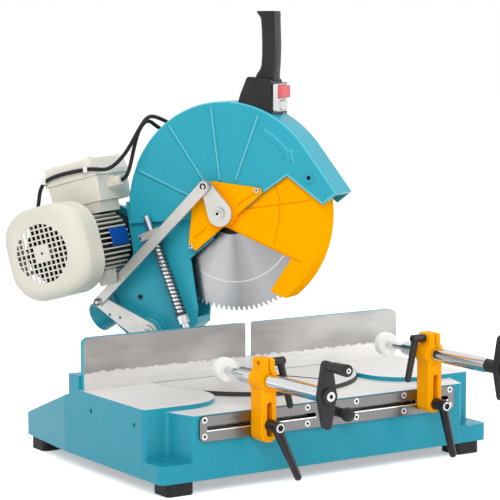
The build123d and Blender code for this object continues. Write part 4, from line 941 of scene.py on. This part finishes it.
def addSleeve():
    # each row is a superellipse: its depth and width take the cosine and sine to the power of two over the
    # given power, and the sizes run straight from one station to the next
    stations = np.array(gripSleeve["stations"])
    levels = stations[:, 0]
    height = np.unique(np.concatenate([levels, np.linspace(levels[0], levels[-1], gripSleeve["rows"])]))
    middle, deep, wide = (np.interp(height, levels, stations[:, column])[:, None] for column in (1, 2, 3))
    turn = fullTurn(gripSleeve["columns"])[None, :]
    power = 2 / gripSleeve["power"]
    squared = [np.sign(way) * np.abs(way) ** power for way in (np.cos(turn), np.sin(turn))]
    points = headPoint(middle + deep * squared[0], height[:, None], wide * squared[1])
    newPiece("gripSleeve", [gridSurface(points)], [finishes["grip"]], "head",
             gripSleeve["smoothAngle"])


addSleeve()
print("grip sleeve set")

# dark disc down the hole of the nose's boss: painted shade in the hole
noseHoleShade = {"at": (-130.7, 483.2), "radius": 3.9, "left": (26.5, 29.5), "sides": 24}


def addHoleShade():
    # two rings of points about the hole's axis, closed at both ends
    angle = fullTurn(noseHoleShade["sides"])
    u, v = (c + noseHoleShade["radius"] * way(angle) for c, way in zip(noseHoleShade["at"], (np.cos, np.sin)))
    rings = np.stack([headPoint(u, v, left) for left in noseHoleShade["left"]])
    newPiece("noseHoleShade", [gridSurface(rings)], [finishes["rubber"]], "head")


addHoleShade()

# blank plate on the motor's fins, from one angle above the motor's front to another
finPlate = {"reach": 68.2, "thick": 0.8, "from": 4.0, "to": 31.0, "left": (40.0, 98.0), "rows": 14}


def addFinPlate():
    # part of a cylinder on the fins: angle above the motor's front by place across, with a thin wall
    spec = finPlate
    angle = np.radians(np.linspace(spec["from"], spec["to"], spec["rows"]))[:, None]
    across = np.array(spec["left"])[None, :]
    walls = []
    for reach in (spec["reach"], spec["reach"] + spec["thick"]):
        u, v = motorAxis[0] - reach * np.cos(angle), motorAxis[1] + reach * np.sin(angle)
        walls.append(headPoint(u, v, across))
    inner, outer = walls
    loop = np.stack([inner[:, 0], outer[:, 0], outer[:, 1], inner[:, 1]], axis=1)
    newPiece("finPlate", [gridSurface(loop)], [finishes["bluePlate"]], "head")


addFinPlate()
print("holeShade and plate set")

# plain pale floor and soft studio light; key and top stay out of reflections, so bare metal keeps its tone
studio = {"floorReach": 14.0, "floorTone": 0.93, "floorRoughness": 0.9, "floorGlow": 0.42, "skyLight": 0.62,
          "aim": (0, 0, 0.3)}
lamps = {
    "key": {"place": (-2.2, -2.6, 3.0), "size": 3.2, "watts": 112, "mirrored": False},
    "fill": {"place": (2.8, -2.0, 1.8), "size": 2.8, "watts": 45, "mirrored": True},
    "top": {"place": (0.2, 1.6, 3.2), "size": 2.6, "watts": 36, "mirrored": False},
}


def seenRay(tree):
    # 1 for rays from the camera, a reflection or glass, 0 for the light that falls on things
    ray = addNode(tree, "ShaderNodeLightPath")
    seen = mathOf(tree, "MAXIMUM", ray.outputs["Is Camera Ray"], ray.outputs["Is Glossy Ray"])
    return mathOf(tree, "MAXIMUM", seen, ray.outputs["Is Transmission Ray"])


def addFloor():
    # white to the camera and to reflections, so that only the shadow shows on it
    tone, reach = studio["floorTone"], studio["floorReach"]
    sockets = {"Roughness": studio["floorRoughness"], "Base Color": (tone, tone, tone, 1),
               "Emission Color": (1, 1, 1, 1)}
    material, tree, shader, _ = startMaterial("paleFloor", sockets)
    glow = mathOf(tree, "MULTIPLY", seenRay(tree), studio["floorGlow"])
    tree.links.new(glow, shader.inputs["Emission Strength"])
    mesh = bpy.data.meshes.new("floor")
    corners = [(-reach, -reach, 0), (reach, -reach, 0), (reach, reach, 0), (-reach, reach, 0)]
    mesh.from_pydata(corners, [], [(0, 1, 2, 3)])
    mesh.materials.append(material)
    floor = bpy.data.objects.new("floor", mesh)
    bpy.context.scene.collection.objects.link(floor)


def addLamp(name):
    spec = lamps[name]
    data = bpy.data.lights.new(name, "AREA")
    data.shape, data.size, data.energy = "DISK", spec["size"], spec["watts"]
    lamp = bpy.data.objects.new(name, data)
    lamp.location = spec["place"]
    lamp.visible_glossy = spec["mirrored"]
    lamp.rotation_euler = (Vector(studio["aim"]) - Vector(spec["place"])).to_track_quat("-Z", "Y").to_euler()
    bpy.context.scene.collection.objects.link(lamp)


def addWorld():
    # white where it is seen, weaker where it only lights
    world = bpy.data.worlds.new("studio")
    bpy.context.scene.world = world
    world.use_nodes = True
    tree = world.node_tree
    strength = rangeOf(tree, seenRay(tree), 0.0, 1.0, studio["skyLight"], 1.0)
    background = tree.nodes["Background"]
    background.inputs["Color"].default_value = (1, 1, 1, 1)
    tree.links.new(strength, background.inputs["Strength"])


addFloor()
for name in lamps:
    addLamp(name)
addWorld()
bpy.context.scene.view_settings.view_transform = "Standard"
print("floor, lamps and world set")
